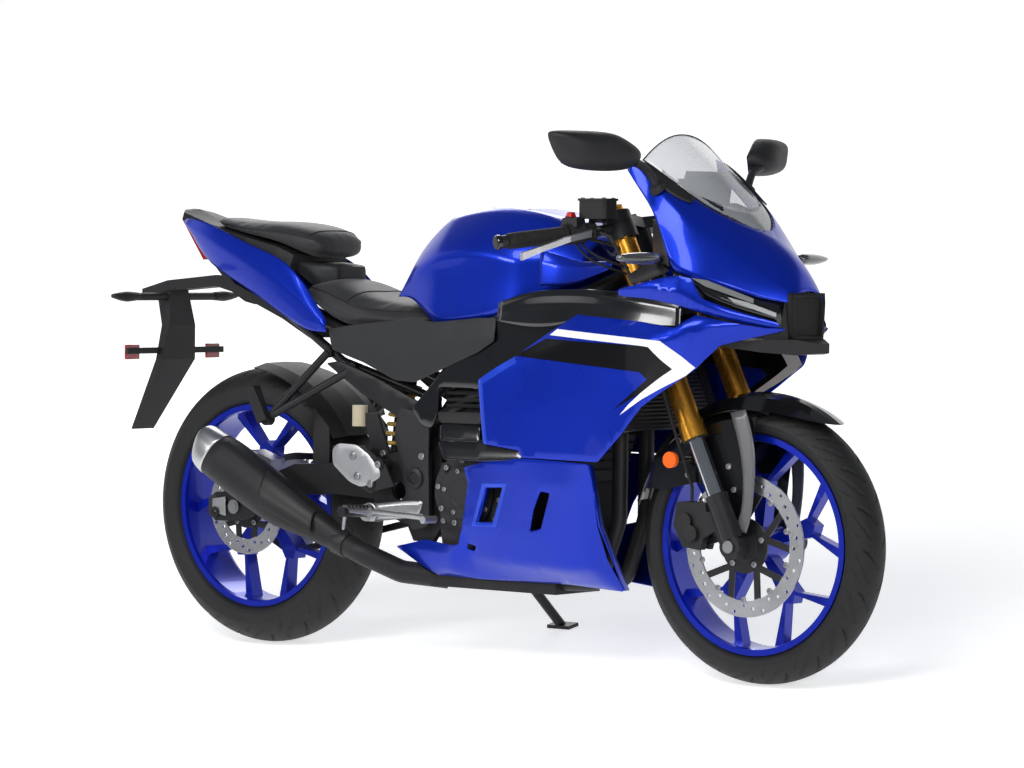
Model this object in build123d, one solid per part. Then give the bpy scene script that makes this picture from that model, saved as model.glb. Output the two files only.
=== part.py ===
from build123d import *
import math
import os

# Sport bike, parked on its side stand. All lengths in millimetres, all angles in degrees.
# It is modelled upright: X forward from the rear axle, Y to the rider's left, Z up from the
# ground. PARK then leans every piece onto the stand and centres the footprint on the origin.

# ---- driving dimensions ------------------------------------------------------------------
WHEELBASE = 1380.0
LEAN = 10.5                     # lean to the left, onto the side stand
RAKE = 25.0
TRAIL = 95.0
STEERING_LOCK = 27.0            # each way

FRONT_TYRE = dict(radius=293.0, width=112.0, crown=38.0)
REAR_TYRE = dict(radius=314.0, width=142.0, crown=46.0)
RIM_RADIUS = 231.0              # outside of the flange
RIM_SEAT = 222.0                # where the bead sits
RIM_WALL = 6.0
FRONT_RIM_WIDTH = 88.0          # over the flanges
REAR_RIM_WIDTH = 114.0
SPOKE_PAIRS = 5
SPOKE_SPLAY = 22.0              # half angle between the two arms of a spoke, at the rim
SPOKE_SPLIT = 133.0             # radius at which a spoke splits in two
HUB_RADIUS = 38.0
AXLE_RADIUS = 10.0

FORK_HALF_SPACING = 104.0
FORK_OUTER_RADIUS = 25.0
FORK_INNER_RADIUS = 18.5
FORK_LUG_TOP = 420.0            # distances up the steering axis from the ground
FORK_OUTER_LOW = 547.0
LOWER_CLAMP = 845.0
LOWER_CLAMP_HEIGHT = 36.0
TOP_CLAMP = 1035.0
TOP_CLAMP_HEIGHT = 26.0
FORK_TOP = 1072.0
HEAD_TUBE_RADIUS = 31.0
STEM_RADIUS = 14.0
STEM_BORE = 8.0                 # right through the stem and its nut
STEM_NUT_RADIUS = 17.0
STEM_NUT_TOP = 1075.0

# threaded bosses under the swingarm ends, for the spools of a paddock stand
REAR_STAND_BOSS = dict(x=-57.0, z=300.0, radius=12.0, y_outside=131.0, bore=4.0, depth=22.0)

FRONT_DISC_RADIUS = 149.0
REAR_DISC_RADIUS = 110.0
DISC_THICKNESS = 4.5
FRONT_DISC_Y = -68.0            # middle of the disc
REAR_DISC_Y = -84.0

CHAIN_PITCH = 15.875
CHAIN_Y = 84.0
REAR_TEETH = 43
FRONT_TEETH = 14
CHAIN_ROLLER = 5.1
CHAIN_PLATE_HEIGHT = 15.0
CHAIN_INNER_WIDTH = 6.4
CHAIN_PLATE = 3.2

PIVOT_X, PIVOT_Z = 548.0, 392.0  # swingarm pivot
ARM_Y = (97.0, 125.0)            # inside and outside of each swingarm leg at the axle
PANEL = 3.0                      # thickness of the plastic panels
RUNNING_GAP = 0.3                # between pieces that sit on each other
FRAME_TUBE = 17.0                # radius

MUFFLER_Y = -190.0
SHOCK_LOW = (374.0, 0.0, 422.0)
SHOCK_TOP = (412.0, 0.0, 684.0)
FRONT_SPROCKET = (640.0, 0.0, 392.0)
FILLER = (700.0, 0.0, 972.0)
FILLER_RADIUS = 50.0
CAP_HINGE = (FILLER[0] - FILLER_RADIUS + 4, 0.0, FILLER[2] + 17.0)
CAP_PIN = 2.0                   # radius

STAND_PIVOT = Vector(575, 130, 238)
STAND_FOOT_X, STAND_FOOT_Y = 622.0, 292.0
STAND_FOLDED = Vector(-250, 62, -40)   # direction of the leg when it is folded away
STAND_RADIUS = 11.0

GRIP_RADIUS = 16.5
BAR_RADIUS = 11.0
BAR_INNER = Vector(1083, 112, 950)
BAR_OUTER = Vector(948, 354, 917)

# ---- worked out from them ----------------------------------------------------------------
REAR_AXLE = Vector(0, 0, REAR_TYRE["radius"])
FRONT_AXLE = Vector(WHEELBASE, 0, FRONT_TYRE["radius"])
SIN_RAKE, COS_RAKE = math.sin(math.radians(RAKE)), math.cos(math.radians(RAKE))
# STEER has its z along the steering axis, x forward of it and y to the left.
STEER = Plane(origin=(WHEELBASE + TRAIL, 0, 0), x_dir=(COS_RAKE, 0, SIN_RAKE), z_dir=(-SIN_RAKE, 0, COS_RAKE))
FORK_OFFSET = STEER.to_local_coords(FRONT_AXLE).X
AXLE_UP = STEER.to_local_coords(FRONT_AXLE).Z


# ---- helpers -----------------------------------------------------------------------------
def mirrored(shape):
    return shape.mirror(Plane.XZ)


def polygon(points):
    return Face(Wire.make_polygon([Vector(*p) for p in points], close=True))


def slab(points, y_low, y_high):
    """A side-view outline of (x, z) points, solid from y_low to y_high."""
    face = polygon([(x, y_low, z) for x, z in points])
    return Solid.extrude(face, Vector(0, y_high - y_low, 0))


def skin(sections):
    """A solid with flat facets through closed sections of 3-D points."""
    return Solid.make_loft([Wire.make_polygon([Vector(*p) for p in s], close=True) for s in sections], True)


def inset(line, depth):
    """The open (y, z) line moved sideways by depth, to the right of its direction."""
    moved = []
    for i, (y, z) in enumerate(line):
        normals = []
        for a, b in ((i - 1, i), (i, i + 1)):
            if a < 0 or b >= len(line):
                continue
            dy, dz = line[b][0] - line[a][0], line[b][1] - line[a][1]
            size = math.hypot(dy, dz)
            normals.append((dz / size, -dy / size))
        ny = sum(n[0] for n in normals) / len(normals)
        nz = sum(n[1] for n in normals) / len(normals)
        scale = depth / (ny * ny + nz * nz)
        moved.append((y + ny * scale, z + nz * scale))
    return moved


def sheet(rows, depth):
    """A panel. Each row is x and then the (y, z) points of its outer face, from the top down."""
    sections = []
    for x, *line in rows:
        closed = list(line) + inset(line, depth)[::-1]
        sections.append([(x, y, z) for y, z in closed])
    return skin(sections)


def both_sides(line):
    """A half line from the middle out to the left, continued to the right."""
    return [(-y, z) for y, z in line[::-1] if y > 0] + list(line)


def rod(start, end, radius):
    start, end = Vector(*start), Vector(*end)
    along = end - start
    return Solid.make_cylinder(radius, along.length, Plane(origin=start, z_dir=along))


def disc_y(center, radius, y_low, y_high):
    return rod((center[0], y_low, center[1]), (center[0], y_high, center[1]), radius)


def tube(points, radius, bend, bore=0.0):
    path = FilletPolyline(*[Vector(*p) for p in points], radius=bend) if len(points) > 2 else Line(*points)
    start = Plane(origin=path @ 0, z_dir=path % 0)
    profile = start * Circle(radius)
    if bore:
        profile -= start * Circle(bore)
    return sweep(profile, path=path).solids()[0]


def round_loft(rings):
    """rings: (center x, y, z), (direction), radius"""
    wires = []
    for center, direction, radius in rings:
        wires.append(Wire.make_circle(radius, Plane(origin=Vector(*center), z_dir=Vector(*direction))))
    return Solid.make_loft(wires, True)


def block(x0, x1, y0, y1, z0, z1):
    return Pos((x0 + x1) / 2, (y0 + y1) / 2, (z0 + z1) / 2) * Box(x1 - x0, y1 - y0, z1 - z0)


def turned(profile, axle, start=0.0, arc=360.0):
    """Revolve an (r, y) outline about a wheel's axle. start is the angle up from +X."""
    a = math.radians(start)
    ring = [(axle.X + r * math.cos(a), y, axle.Z + r * math.sin(a)) for r, y in profile]
    return revolve(polygon(ring), axis=Axis(axle, (0, 1, 0)), revolution_arc=arc).solids()[0]


def symmetric(half):
    return list(half) + [(r, -y) for r, y in reversed(half)]


def join(shapes):
    whole = shapes[0]
    for shape in shapes[1:]:
        whole = whole + shape
    return whole


# ---- wheels ------------------------------------------------------------------------------
def tyre(axle, size, rim_width):
    radius, half, crown = size["radius"], size["width"] / 2, size["crown"]
    seat = RIM_SEAT + RUNNING_GAP
    bead = rim_width / 2 - RIM_WALL - RUNNING_GAP
    a = Vector(seat, -bead)
    path = Polyline((seat, -bead), (RIM_RADIUS + 2, -bead), (RIM_RADIUS + 6, -half + 8), (radius - crown, -half))
    path += ThreePointArc((radius - crown, -half), (radius, 0), (radius - crown, half))
    path += Polyline((radius - crown, half), (RIM_RADIUS + 6, half - 8), (RIM_RADIUS + 2, bead), (seat, bead), (seat, -bead))
    frame = Plane(origin=axle, x_dir=(1, 0, 0), z_dir=(0, 0, 1))
    return revolve(frame * make_face(path), axis=Axis(axle, (0, 1, 0))).solids()[0]


def spoke(axle, angle, splay, half_width):
    """One Y: a stem from the hub that splits into two arms to the rim."""
    def at(r, deg):
        a = math.radians(angle + deg)
        return axle.X + r * math.cos(a), axle.Z + r * math.sin(a)
    arms = []
    split, foot, tip = SPOKE_SPLIT, HUB_RADIUS - 6, RIM_SEAT - RIM_WALL + 1
    stem = slab([at(foot, -16), at(split, -9), at(split + 14, 0), at(split, 9), at(foot, 16)], -half_width, half_width)
    arms.append(stem)
    for side in (-1, 1):
        outline = [at(split - 16, 0), at(split, side * 9.0), at(tip, side * (splay + 3.4)), at(tip, side * (splay - 2.6))]
        arms.append(slab(outline[::side], -half_width + 3, half_width - 3))
    return join(arms)


def rim(axle, width, hub_low, hub_high, spoke_half):
    half = width / 2
    inner = RIM_SEAT - RIM_WALL
    profile = [(inner, half - 8), (inner + 2, half), (RIM_RADIUS, half), (RIM_RADIUS, half - RIM_WALL),
               (RIM_SEAT, half - RIM_WALL)]
    wheel = turned(symmetric(profile), axle)
    wheel += disc_y((axle.X, axle.Z), HUB_RADIUS, hub_low, hub_high)
    for i in range(SPOKE_PAIRS):
        wheel += spoke(axle, 90 + i * 360 / SPOKE_PAIRS, SPOKE_SPLAY, spoke_half)
    return wheel


def brake_disc(axle, radius, y, bolt_radius, hub_radius, holes):
    low, high = y - DISC_THICKNESS / 2, y + DISC_THICKNESS / 2
    center = (axle.X, axle.Z)
    disc = disc_y(center, radius, low, high) - disc_y(center, radius - 34, low - 1, high + 1)
    carrier = disc_y(center, hub_radius, low, high) - disc_y(center, 26, low - 1, high + 1)
    disc += carrier
    for i in range(5):
        a = math.radians(90 + i * 72)
        for side in (-1, 1):
            b = a + side * 0.34
            foot = Vector(axle.X + (hub_radius - 6) * math.cos(a), 0, axle.Z + (hub_radius - 6) * math.sin(a))
            tip = Vector(axle.X + (radius - 30) * math.cos(b), 0, axle.Z + (radius - 30) * math.sin(b))
            across = (tip - foot).cross(Vector(0, 1, 0)).normalized() * 7
            outline = [(p.X, p.Z) for p in (foot - across, tip - across, tip + across, foot + across)]
            disc += slab(outline, low, high)
    cuts = [disc_y((axle.X + (radius - 17 + 8 * (i % 3 - 1)) * math.cos(2 * math.pi * i / holes),
                    axle.Z + (radius - 17 + 8 * (i % 3 - 1)) * math.sin(2 * math.pi * i / holes)), 4.0, low - 1, high + 1)
            for i in range(holes)]
    return disc - Compound(children=cuts)


def sprocket(axle_x, axle_z, teeth, y, width, bore):
    pitch_radius = CHAIN_PITCH / (2 * math.sin(math.pi / teeth))
    root, top = pitch_radius - CHAIN_ROLLER - 1.5, pitch_radius + 2.0
    points = []
    step = 2 * math.pi / teeth
    for i in range(teeth):
        for part, r in ((-0.26, root), (0.26, root), (0.42, top), (0.58, top)):
            a = (i + part) * step
            points.append((axle_x + r * math.cos(a), axle_z + r * math.sin(a)))
    return slab(points, y - width / 2, y + width / 2) - disc_y((axle_x, axle_z), bore, y - width, y + width)


def front_wheel():
    axle = FRONT_AXLE
    return {
        "front_rim": rim(axle, FRONT_RIM_WIDTH, FRONT_DISC_Y + DISC_THICKNESS / 2, 46.0, 17.0)
        - disc_y((axle.X, axle.Z), AXLE_RADIUS + RUNNING_GAP, -200, 200),
        "front_tyre": tyre(axle, FRONT_TYRE, FRONT_RIM_WIDTH),
        "front_disc": brake_disc(axle, FRONT_DISC_RADIUS, FRONT_DISC_Y, 40, 58, 36)
        - disc_y((axle.X, axle.Z), AXLE_RADIUS + RUNNING_GAP, -200, 200),
    }


def rear_wheel():
    axle = REAR_AXLE
    bore = disc_y((axle.X, axle.Z), AXLE_RADIUS + RUNNING_GAP, -200, 200)
    return {
        "rear_rim": rim(axle, REAR_RIM_WIDTH, REAR_DISC_Y + DISC_THICKNESS / 2,
                        CHAIN_Y - (CHAIN_INNER_WIDTH - 0.6) / 2, 20.0) - bore,
        "rear_tyre": tyre(axle, REAR_TYRE, REAR_RIM_WIDTH),
        "rear_disc": brake_disc(axle, REAR_DISC_RADIUS, REAR_DISC_Y, 40, 50, 30) - bore,
        "rear_sprocket": sprocket(axle.X, axle.Z, REAR_TEETH, CHAIN_Y, CHAIN_INNER_WIDTH - 0.6, 26.0),
    }


# ---- steering ----------------------------------------------------------------------------
def in_steering(shape):
    return STEER.location * shape


def steer_rod(fore, left, low, high, radius):
    return Pos(fore, left, (low + high) / 2) * Cylinder(radius, high - low)


def fork():
    outers, inners, lugs = [], [], []
    for side in (-1, 1):
        y = side * FORK_HALF_SPACING
        outer = steer_rod(FORK_OFFSET, y, FORK_OUTER_LOW + 40, FORK_TOP - 8, FORK_OUTER_RADIUS)
        outer += steer_rod(FORK_OFFSET, y, FORK_OUTER_LOW, FORK_OUTER_LOW + 40, FORK_OUTER_RADIUS + 2.5)
        outer -= steer_rod(FORK_OFFSET, y, FORK_OUTER_LOW - 1, FORK_TOP, FORK_INNER_RADIUS + RUNNING_GAP)
        outer += steer_rod(FORK_OFFSET, y, FORK_TOP - 12, FORK_TOP, FORK_OUTER_RADIUS - 4)
        outers.append(in_steering(outer).solids()[0])
        inners.append(in_steering(steer_rod(FORK_OFFSET, y, FORK_LUG_TOP - 30, FORK_OUTER_LOW + 120, FORK_INNER_RADIUS)).solids()[0])
        lug = steer_rod(FORK_OFFSET, y, AXLE_UP + 14, FORK_LUG_TOP, 24)
        lug += Pos(FORK_OFFSET, y, AXLE_UP) * Rot(90, 0, 0) * Cylinder(25, 40)
        lug += Pos(FORK_OFFSET - 16, y, (AXLE_UP + 330) / 2 + 30) * Box(26, 16, 80)
        lug -= steer_rod(FORK_OFFSET, y, FORK_LUG_TOP - 30.3, FORK_LUG_TOP + 1, FORK_INNER_RADIUS + RUNNING_GAP)
        lug -= Pos(FORK_OFFSET, y, AXLE_UP) * Rot(90, 0, 0) * Cylinder(AXLE_RADIUS + RUNNING_GAP, 80)
        lugs.append(in_steering(lug).solids()[0])
    return outers, inners, lugs


def clamps():
    def plate(low, height, stem_r, lobe, waist):
        shape = Pos(0, 0, low + height / 2) * Cylinder(stem_r, height)
        for side in (-1, 1):
            shape += Pos(FORK_OFFSET, side * FORK_HALF_SPACING, low + height / 2) * Cylinder(lobe, height)
            outline = [(-stem_r * 0.8, 0, low), (FORK_OFFSET - waist, side * FORK_HALF_SPACING, low),
                       (FORK_OFFSET + waist, side * FORK_HALF_SPACING, low), (stem_r * 1.1, 0, low)]
            shape += Solid.extrude(polygon(outline), Vector(0, 0, height))
        for side in (-1, 1):
            hole = FORK_OUTER_RADIUS + RUNNING_GAP
            shape -= Pos(FORK_OFFSET, side * FORK_HALF_SPACING, low + height / 2) * Cylinder(hole, height + 2)
        return shape
    stem = steer_rod(0, 0, LOWER_CLAMP - 1, TOP_CLAMP, STEM_RADIUS)
    lower = plate(LOWER_CLAMP, LOWER_CLAMP_HEIGHT, 30, 33, 20) + stem
    top = plate(TOP_CLAMP + RUNNING_GAP, TOP_CLAMP_HEIGHT, 27, 32, 16)
    nut_low = TOP_CLAMP + TOP_CLAMP_HEIGHT - 1
    top += Pos(0, 0, nut_low) * extrude(RegularPolygon(STEM_NUT_RADIUS, 6), STEM_NUT_TOP - nut_low)
    bore = steer_rod(0, 0, LOWER_CLAMP - 5, STEM_NUT_TOP + 5, STEM_BORE)
    lower, top = lower - bore, top - bore
    return in_steering(lower).solids()[0], in_steering(top).solids()[0]


def on_bar(t):
    return BAR_INNER + (BAR_OUTER - BAR_INNER) * t


def bars():
    """Clip-ons, grips and what is clamped to them, for the left; the right is mirrored."""
    clamp = in_steering(steer_rod(FORK_OFFSET, FORK_HALF_SPACING, TOP_CLAMP - 34, TOP_CLAMP - 1, 33)
                        - steer_rod(FORK_OFFSET, FORK_HALF_SPACING, TOP_CLAMP - 40, TOP_CLAMP, FORK_OUTER_RADIUS + RUNNING_GAP))
    heart = STEER.location * Pos(FORK_OFFSET, FORK_HALF_SPACING, TOP_CLAMP - 20) * Cylinder(FORK_OUTER_RADIUS + RUNNING_GAP, 60)
    lobe = in_steering(steer_rod(FORK_OFFSET, FORK_HALF_SPACING, TOP_CLAMP - 1, TOP_CLAMP + 40, 33))
    bar = clamp + (rod(BAR_INNER, on_bar(0.985), BAR_RADIUS) - heart - lobe)
    grip = rod(on_bar(0.47), on_bar(0.93), GRIP_RADIUS) + rod(on_bar(0.455), on_bar(0.475), GRIP_RADIUS + 5)
    grip -= rod(on_bar(0.3), on_bar(1.1), BAR_RADIUS + RUNNING_GAP)
    end = rod(on_bar(0.935), on_bar(1.03), GRIP_RADIUS - 3)
    switch = rod(on_bar(0.31), on_bar(0.445), 23) - rod(on_bar(0.2), on_bar(0.6), BAR_RADIUS + RUNNING_GAP)
    pivot = Vector(1073, 190, 940)
    perch = rod(on_bar(0.22), on_bar(0.295), 19) + skin([
        [(1048, 168, 930), (1048, 196, 926), (1048, 196, 950), (1048, 168, 954)],
        [(1084, 176, 934), (1084, 200, 930), (1084, 200, 944), (1084, 176, 948)]])
    perch -= rod(on_bar(0.1), on_bar(0.6), BAR_RADIUS + RUNNING_GAP)
    lever_line = [(1071, 202.1, 937), (1052, 252, 925), (1018, 305, 903), (996, 338, 888)]
    sections = []
    for (x, y, z), high, deep in zip(lever_line, (7, 6, 6, 8), (7, 9, 8, 7)):
        sections.append([(x - deep, y - 4, z - high), (x + deep, y + 4, z - high), (x + deep, y + 4, z + high), (x - deep, y - 4, z + high)])
    lever = skin(sections)
    return bar, grip, end, switch.solids()[0], perch.solids()[0], lever


def master_cylinder():
    """The front brake's reservoir over its perch, on the right."""
    low = Plane(origin=(1063, -167, 968))
    cup = low * extrude(Rectangle(74, 46), 38)
    cup = fillet(cup.edges().filter_by(Axis.Z), 10)
    cup += low * Pos(0, 0, 38) * extrude(RectangleRounded(80, 52, 12), 5)
    cup += skin([[(1045, -160, 960), (1080, -160, 960), (1080, -175, 960), (1045, -175, 960)],
                 [(1045, -160, 969), (1080, -160, 969), (1080, -175, 969), (1045, -175, 969)]])
    return cup.solids()[0]


FENDER_RADIUS = 318.0


def front_fender():
    profile = [(0, 0), (2, 18), (9, 44), (36, 74)]
    outer = [(FENDER_RADIUS - drop, y) for drop, y in profile]
    inner = [(FENDER_RADIUS - PANEL - drop * 0.97, max(0, y - 1.2)) for drop, y in profile]
    ring = [(r, -y) for r, y in reversed(outer[1:])] + outer + list(reversed(inner)) + [(r, -y) for r, y in inner[1:]]
    hood = turned(ring, FRONT_AXLE, start=165.0, arc=112.0)
    lip = slab([(1440, 572), (1500, 562), (1578, 546), (1800, 546), (1800, 300), (1440, 300)], -120, 120)
    hood = (hood - lip).solids()[0]
    wing = [(1330, 552), (1412, 562), (1405, 517), (1390, 434), (1382, 375), (1382, 330), (1358, 336), (1326, 392),
            (1262, 420), (1180, 402), (1128, 402), (1150, 470), (1228, 522)]
    for sign in (-1, 1):
        hood += slab(wing, sign * 75.0 - PANEL / 2, sign * 75.0 + PANEL / 2)
        hood += rod((1226, sign * 75, 467), (1226, sign * 116.7, 467), 5)
    return hood.solids()[0]


def caliper(outline, center, y, slot_radius, bracket):
    body = slab(outline, y - 26, y + 20)
    body -= disc_y(center, slot_radius, y - 7.5, y + 7.5)
    for x, z in ((outline[0][0] * 0.6 + outline[3][0] * 0.4, outline[0][1] * 0.6 + outline[3][1] * 0.4),
                 (outline[0][0] * 0.35 + outline[3][0] * 0.65, outline[0][1] * 0.35 + outline[3][1] * 0.65)):
        body += disc_y((x, z), 17, y - 34, y - 20)
    body += slab(bracket, y - 26, y - 16)
    return body.solids()[0]


def steering():
    outers, inners, lugs = fork()
    lower, top = clamps()
    bar, grip, end, switch, perch, lever = bars()
    front_caliper = caliper([(1222, 378), (1296, 380), (1302, 340), (1284, 280), (1238, 284), (1214, 330)],
                            (FRONT_AXLE.X, FRONT_AXLE.Z), FRONT_DISC_Y, FRONT_DISC_RADIUS + 6,
                            [(1280, 300), (1346, 334), (1340, 362), (1280, 360)])
    lug_clearance = steer_rod(FORK_OFFSET, -FORK_HALF_SPACING, AXLE_UP - 40, FORK_LUG_TOP + 20, 24 + RUNNING_GAP)
    front_caliper = (front_caliper - in_steering(lug_clearance)).solids()[0]
    axle = disc_y((FRONT_AXLE.X, FRONT_AXLE.Z), AXLE_RADIUS, -126, 126)
    axle += disc_y((FRONT_AXLE.X, FRONT_AXLE.Z), 13, -130, -124.5) + disc_y((FRONT_AXLE.X, FRONT_AXLE.Z), 13, 124.5, 130)
    reflector = [disc_y((1226, 467), 17, side * 122 - 5, side * 122 + 5) for side in (-1, 1)]
    hose = tube([(1085.7, -188, 939), (1112, -184, 930), (1150, -150, 830), (1206, -139, 640), (1236, -108, 500),
                 (1256, -86, 410), (1256, -86, 379.4)], 3.5, 12)
    lever_pair = [mirrored(lever), lever]
    return {
        "triple_clamps": Compound(children=[lower, top]),
        "fork_outer_tubes": Compound(children=outers),
        "fork_inner_tubes": Compound(children=inners),
        "fork_lugs": Compound(children=lugs),
        "front_axle": axle.solids()[0],
        "front_fender": front_fender(),
        "front_caliper": front_caliper,
        "fork_reflectors": Compound(children=reflector),
        "clip_on_bars": pair(bar + end),
        "grips": pair(grip),
        "hand_controls": Compound(children=[switch, mirrored(switch), perch, (mirrored(perch) + master_cylinder()).solids()[0]]),
        "hand_levers": Compound(children=lever_pair),
        "brake_hose": hose,
    }


# ---- chassis -----------------------------------------------------------------------------
def main_frame():
    head = in_steering(steer_rod(0, 0, LOWER_CLAMP + LOWER_CLAMP_HEIGHT + 1, TOP_CLAMP - 1, HEAD_TUBE_RADIUS))
    shape = head
    for side in (-1, 1):
        shape += tube([(1064, side * 18, 862), (985, side * 122, 804), (800, side * 138, 740), (690, side * 136, 690),
                       (560, side * 118, 566), (548, side * 106, 470)], FRAME_TUBE, 40)
        shape += tube([(1085, side * 18, 826), (1015, side * 118, 740), (820, side * 128, 640), (556, side * 112, 520)], 14, 50)
        shape += rod((985, side * 122, 800), (920, side * 124, 690), 10)
        shape += rod((800, side * 138, 736), (820, side * 128, 640), 10)
        shape += rod((1024.6, side * 118, 740.6), (1031.9, side * 118, 719.81), 7)
        shape += rod((816.1, side * 134, 748), (800.1, side * 134, 786.9), 10)
        shape += rod((690, side * 140, 690), (690, side * 157.6, 690), 6)
        plate = [(500, 300), (520, 560), (585, 580), (600, 420), (600, 300), (575, 262), (520, 262)]
        shape += slab(plate, side * 106 - 7, side * 106 + 7)
    shape += rod((556, -112, 540), (556, 112, 540), 16)
    shape += rod((545, -106, 280), (545, 106, 280), 12)
    shape += disc_y((PIVOT_X, PIVOT_Z), AXLE_RADIUS, -106, 106)
    shape += rod((1090, 0, 872), (1300, 0, 905), 9) + rod((1300, -161.9, 905), (1300, 161.9, 905), 8)
    shape += rod((1290, 0, 904), (1268, 0, 976), 9)
    shape += stand_bracket()
    shape -= in_steering(steer_rod(0, 0, LOWER_CLAMP, TOP_CLAMP, STEM_RADIUS + RUNNING_GAP))
    return shape.solids()[0]


def subframe():
    shape = None
    for side in (-1, 1):
        run = tube([(640, side * 96, 668), (420, side * 100, 680), (100, side * 84, 780), (-40, side * 56, 826)], 12, 60)
        run += tube([(570, side * 88.7, 570), (480, side * 88.7, 597), (300, side * 98, 650), (70, side * 82, 786)], 10, 60)
        run += rod((425, side * 104, 684), (425, side * 139, 684), 6)
        run += rod((60, side * 80, 786), (60, side * 80, 877.6), 8)
        shape = run if shape is None else shape + run
    shape += rod((SHOCK_TOP[0], -98, SHOCK_TOP[2]), (SHOCK_TOP[0], 98, SHOCK_TOP[2]), 12)
    shape += rod((-30, -56, 823), (-30, 56, 823), 12)
    shape += rod((300, -96, 720), (300, 96, 720), 10)
    shape += rod((640, -96, 668), (640, 96, 668), 12)
    return shape.solids()[0]


def swingarm():
    table = [  # x, y inside, y outside, z low, z high
        (-86, 99, 119, 294, 330), (-60, 97, 124, 280, 345), (10, 97, 125, 282, 350), (90, 97, 125, 312, 384),
        (180, 97, 125, 348, 418), (300, 97, 125, 356, 424), (410, 92, 121, 350, 408), (500, 66, 92, 352, 406),
        (PIVOT_X + 22, 64, 90, 368, 410)]
    leg = skin([[(x, a, low), (x, b, low), (x, b, high), (x, a, high)] for x, a, b, low, high in table])
    shape = leg + mirrored(leg)
    shape += skin([[(350, y, 372), (418, y, 364), (418, y, 402), (356, y, 408)] for y in (-100, 100)])
    shape += disc_y((PIVOT_X, PIVOT_Z), 19, -64, 64)
    for side in (-1, 1):
        y0, y1 = sorted((side * 19, side * 30))
        shape += slab([(356, 400), (392, 396), (386, 436), (362, 436)], y0, y1)
    shape += disc_y((SHOCK_LOW[0], SHOCK_LOW[2]), 6, -30, 30)
    boss = REAR_STAND_BOSS
    for side in (-1, 1):
        end = (boss["x"], side * boss["y_outside"], boss["z"])
        shape += rod((boss["x"], side * 110, boss["z"]), end, boss["radius"])
        shape -= rod((boss["x"], side * (boss["y_outside"] - boss["depth"]), boss["z"]), end, boss["bore"])
    slot = AXLE_RADIUS + RUNNING_GAP
    shape -= slab([(-30, 314 - slot), (14, 314 - slot), (14, 314 + slot), (-30, 314 + slot)], -140, 140)
    shape -= disc_y((PIVOT_X, PIVOT_Z), AXLE_RADIUS + RUNNING_GAP, -140, 140)
    return shape.solids()[0]


def engine():
    case = [(600, 300), (602, 436), (700, 455), (800, 450), (905, 420), (918, 300), (880, 216), (640, 210), (612, 230)]
    block = slab(case, -118, 118)
    block += skin([[(790, y, 440), (925, y, 405), (985, y, 575), (850, y, 615)] for y in (-112, 112)])
    block += skin([[(846, y, 615.0), (986, y, 574), (1006, y, 640), (880, y, 690)] for y in (-104, 104)])
    block -= slab([(590, 336), (640, 336), (690, 350), (694, 430), (640, 448), (590, 448)], 68, 119)
    for side in (-1, 1):
        y0, y1 = sorted((side * 96, side * 160))
        block -= slab([(560, 190), (960, 190), (960, 252), (560, 252)], y0, y1)
    for cover in engine_covers():
        block += cover
    return block.solids()[0]


def engine_covers():
    clutch = disc_y((684, 376), 80, -142, -116) + disc_y((684, 376), 56, -148.9, -141) + disc_y((812, 334), 54, -136, -116)
    clutch += slab([(612, 300), (700, 288), (840, 276), (870, 330), (840, 410), (700, 452), (612, 430)], -132, -116)
    generator = disc_y((792, 346), 68, 116, 152.05) + disc_y((792, 346), 44, 151, 157)
    generator += slab([(716, 290), (850, 272), (876, 330), (840, 410), (740, 420)], 116, 134)
    sprocket_cover = slab([(590, 318), (696, 316), (712, 380), (700, 446), (600, 446), (590, 400)], 116, 130)
    return clutch, generator, sprocket_cover


def exhaust():
    headers = []
    for side in (-1, 1):
        y = side * 46
        headers.append(tube([(996.95, y, 609), (1038, y, 596.6), (1036, y, 330), (985, y, 190), (880, y, 186)], 17, 40))
    box = skin([[(890, -78, 162), (890, 78, 162), (890, 78, 207), (890, -78, 207)],
                [(560, -100, 165), (560, 62, 165), (560, 62, 200), (560, -100, 200)]])
    link = tube([(580, -62, 182), (500, -128, 194), (430, MUFFLER_Y + 8, 234), (376, MUFFLER_Y + 8, 254.3)], 25, 50)
    return join([box, link] + headers).solids()[0]


def oval(center, up, half_width, half_height, count=16):
    """A section across the muffler; up is its (x, z) direction."""
    size = math.hypot(*up)
    ring = []
    for i in range(count):
        a = 2 * math.pi * i / count
        reach = half_height * math.sin(a) / size
        ring.append((center[0] + up[0] * reach, center[1] + half_width * math.cos(a), center[2] + up[1] * reach))
    return ring


def muffler():
    y = MUFFLER_Y
    cone = oval((375.5, y + 8, 254.6), (9.6, 25.6), 27, 27)
    front = oval((178, y, 342), (-7, 150), 56, 75)
    ring = oval((11, y, 434), (75, 103), 52, 63)
    end = oval((-30, y, 455), (34, 110), 46, 56)
    body = skin([cone, front]) + skin([front, ring])
    cap = skin([ring, end])
    cap -= rod((-60, y, 466), (-2, y, 445), 20)
    return body.solids()[0], cap.solids()[0]


def radiator():
    low, high = (1112, 522), (1022, 716)
    core = slab([low, (low[0] + 30, low[1] + 8), (high[0] + 34, high[1] + 12), high], -150, 150)
    tanks = []
    for side in (-1, 1):
        tank = slab([(low[0] - 4, low[1] - 6), (low[0] + 34, low[1] + 4), (high[0] + 38, high[1] + 18), (high[0] - 4, high[1] + 6)],
                    min(side * 150, side * 178), max(side * 150, side * 178))
        core += tank
    return core.solids()[0]


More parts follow.
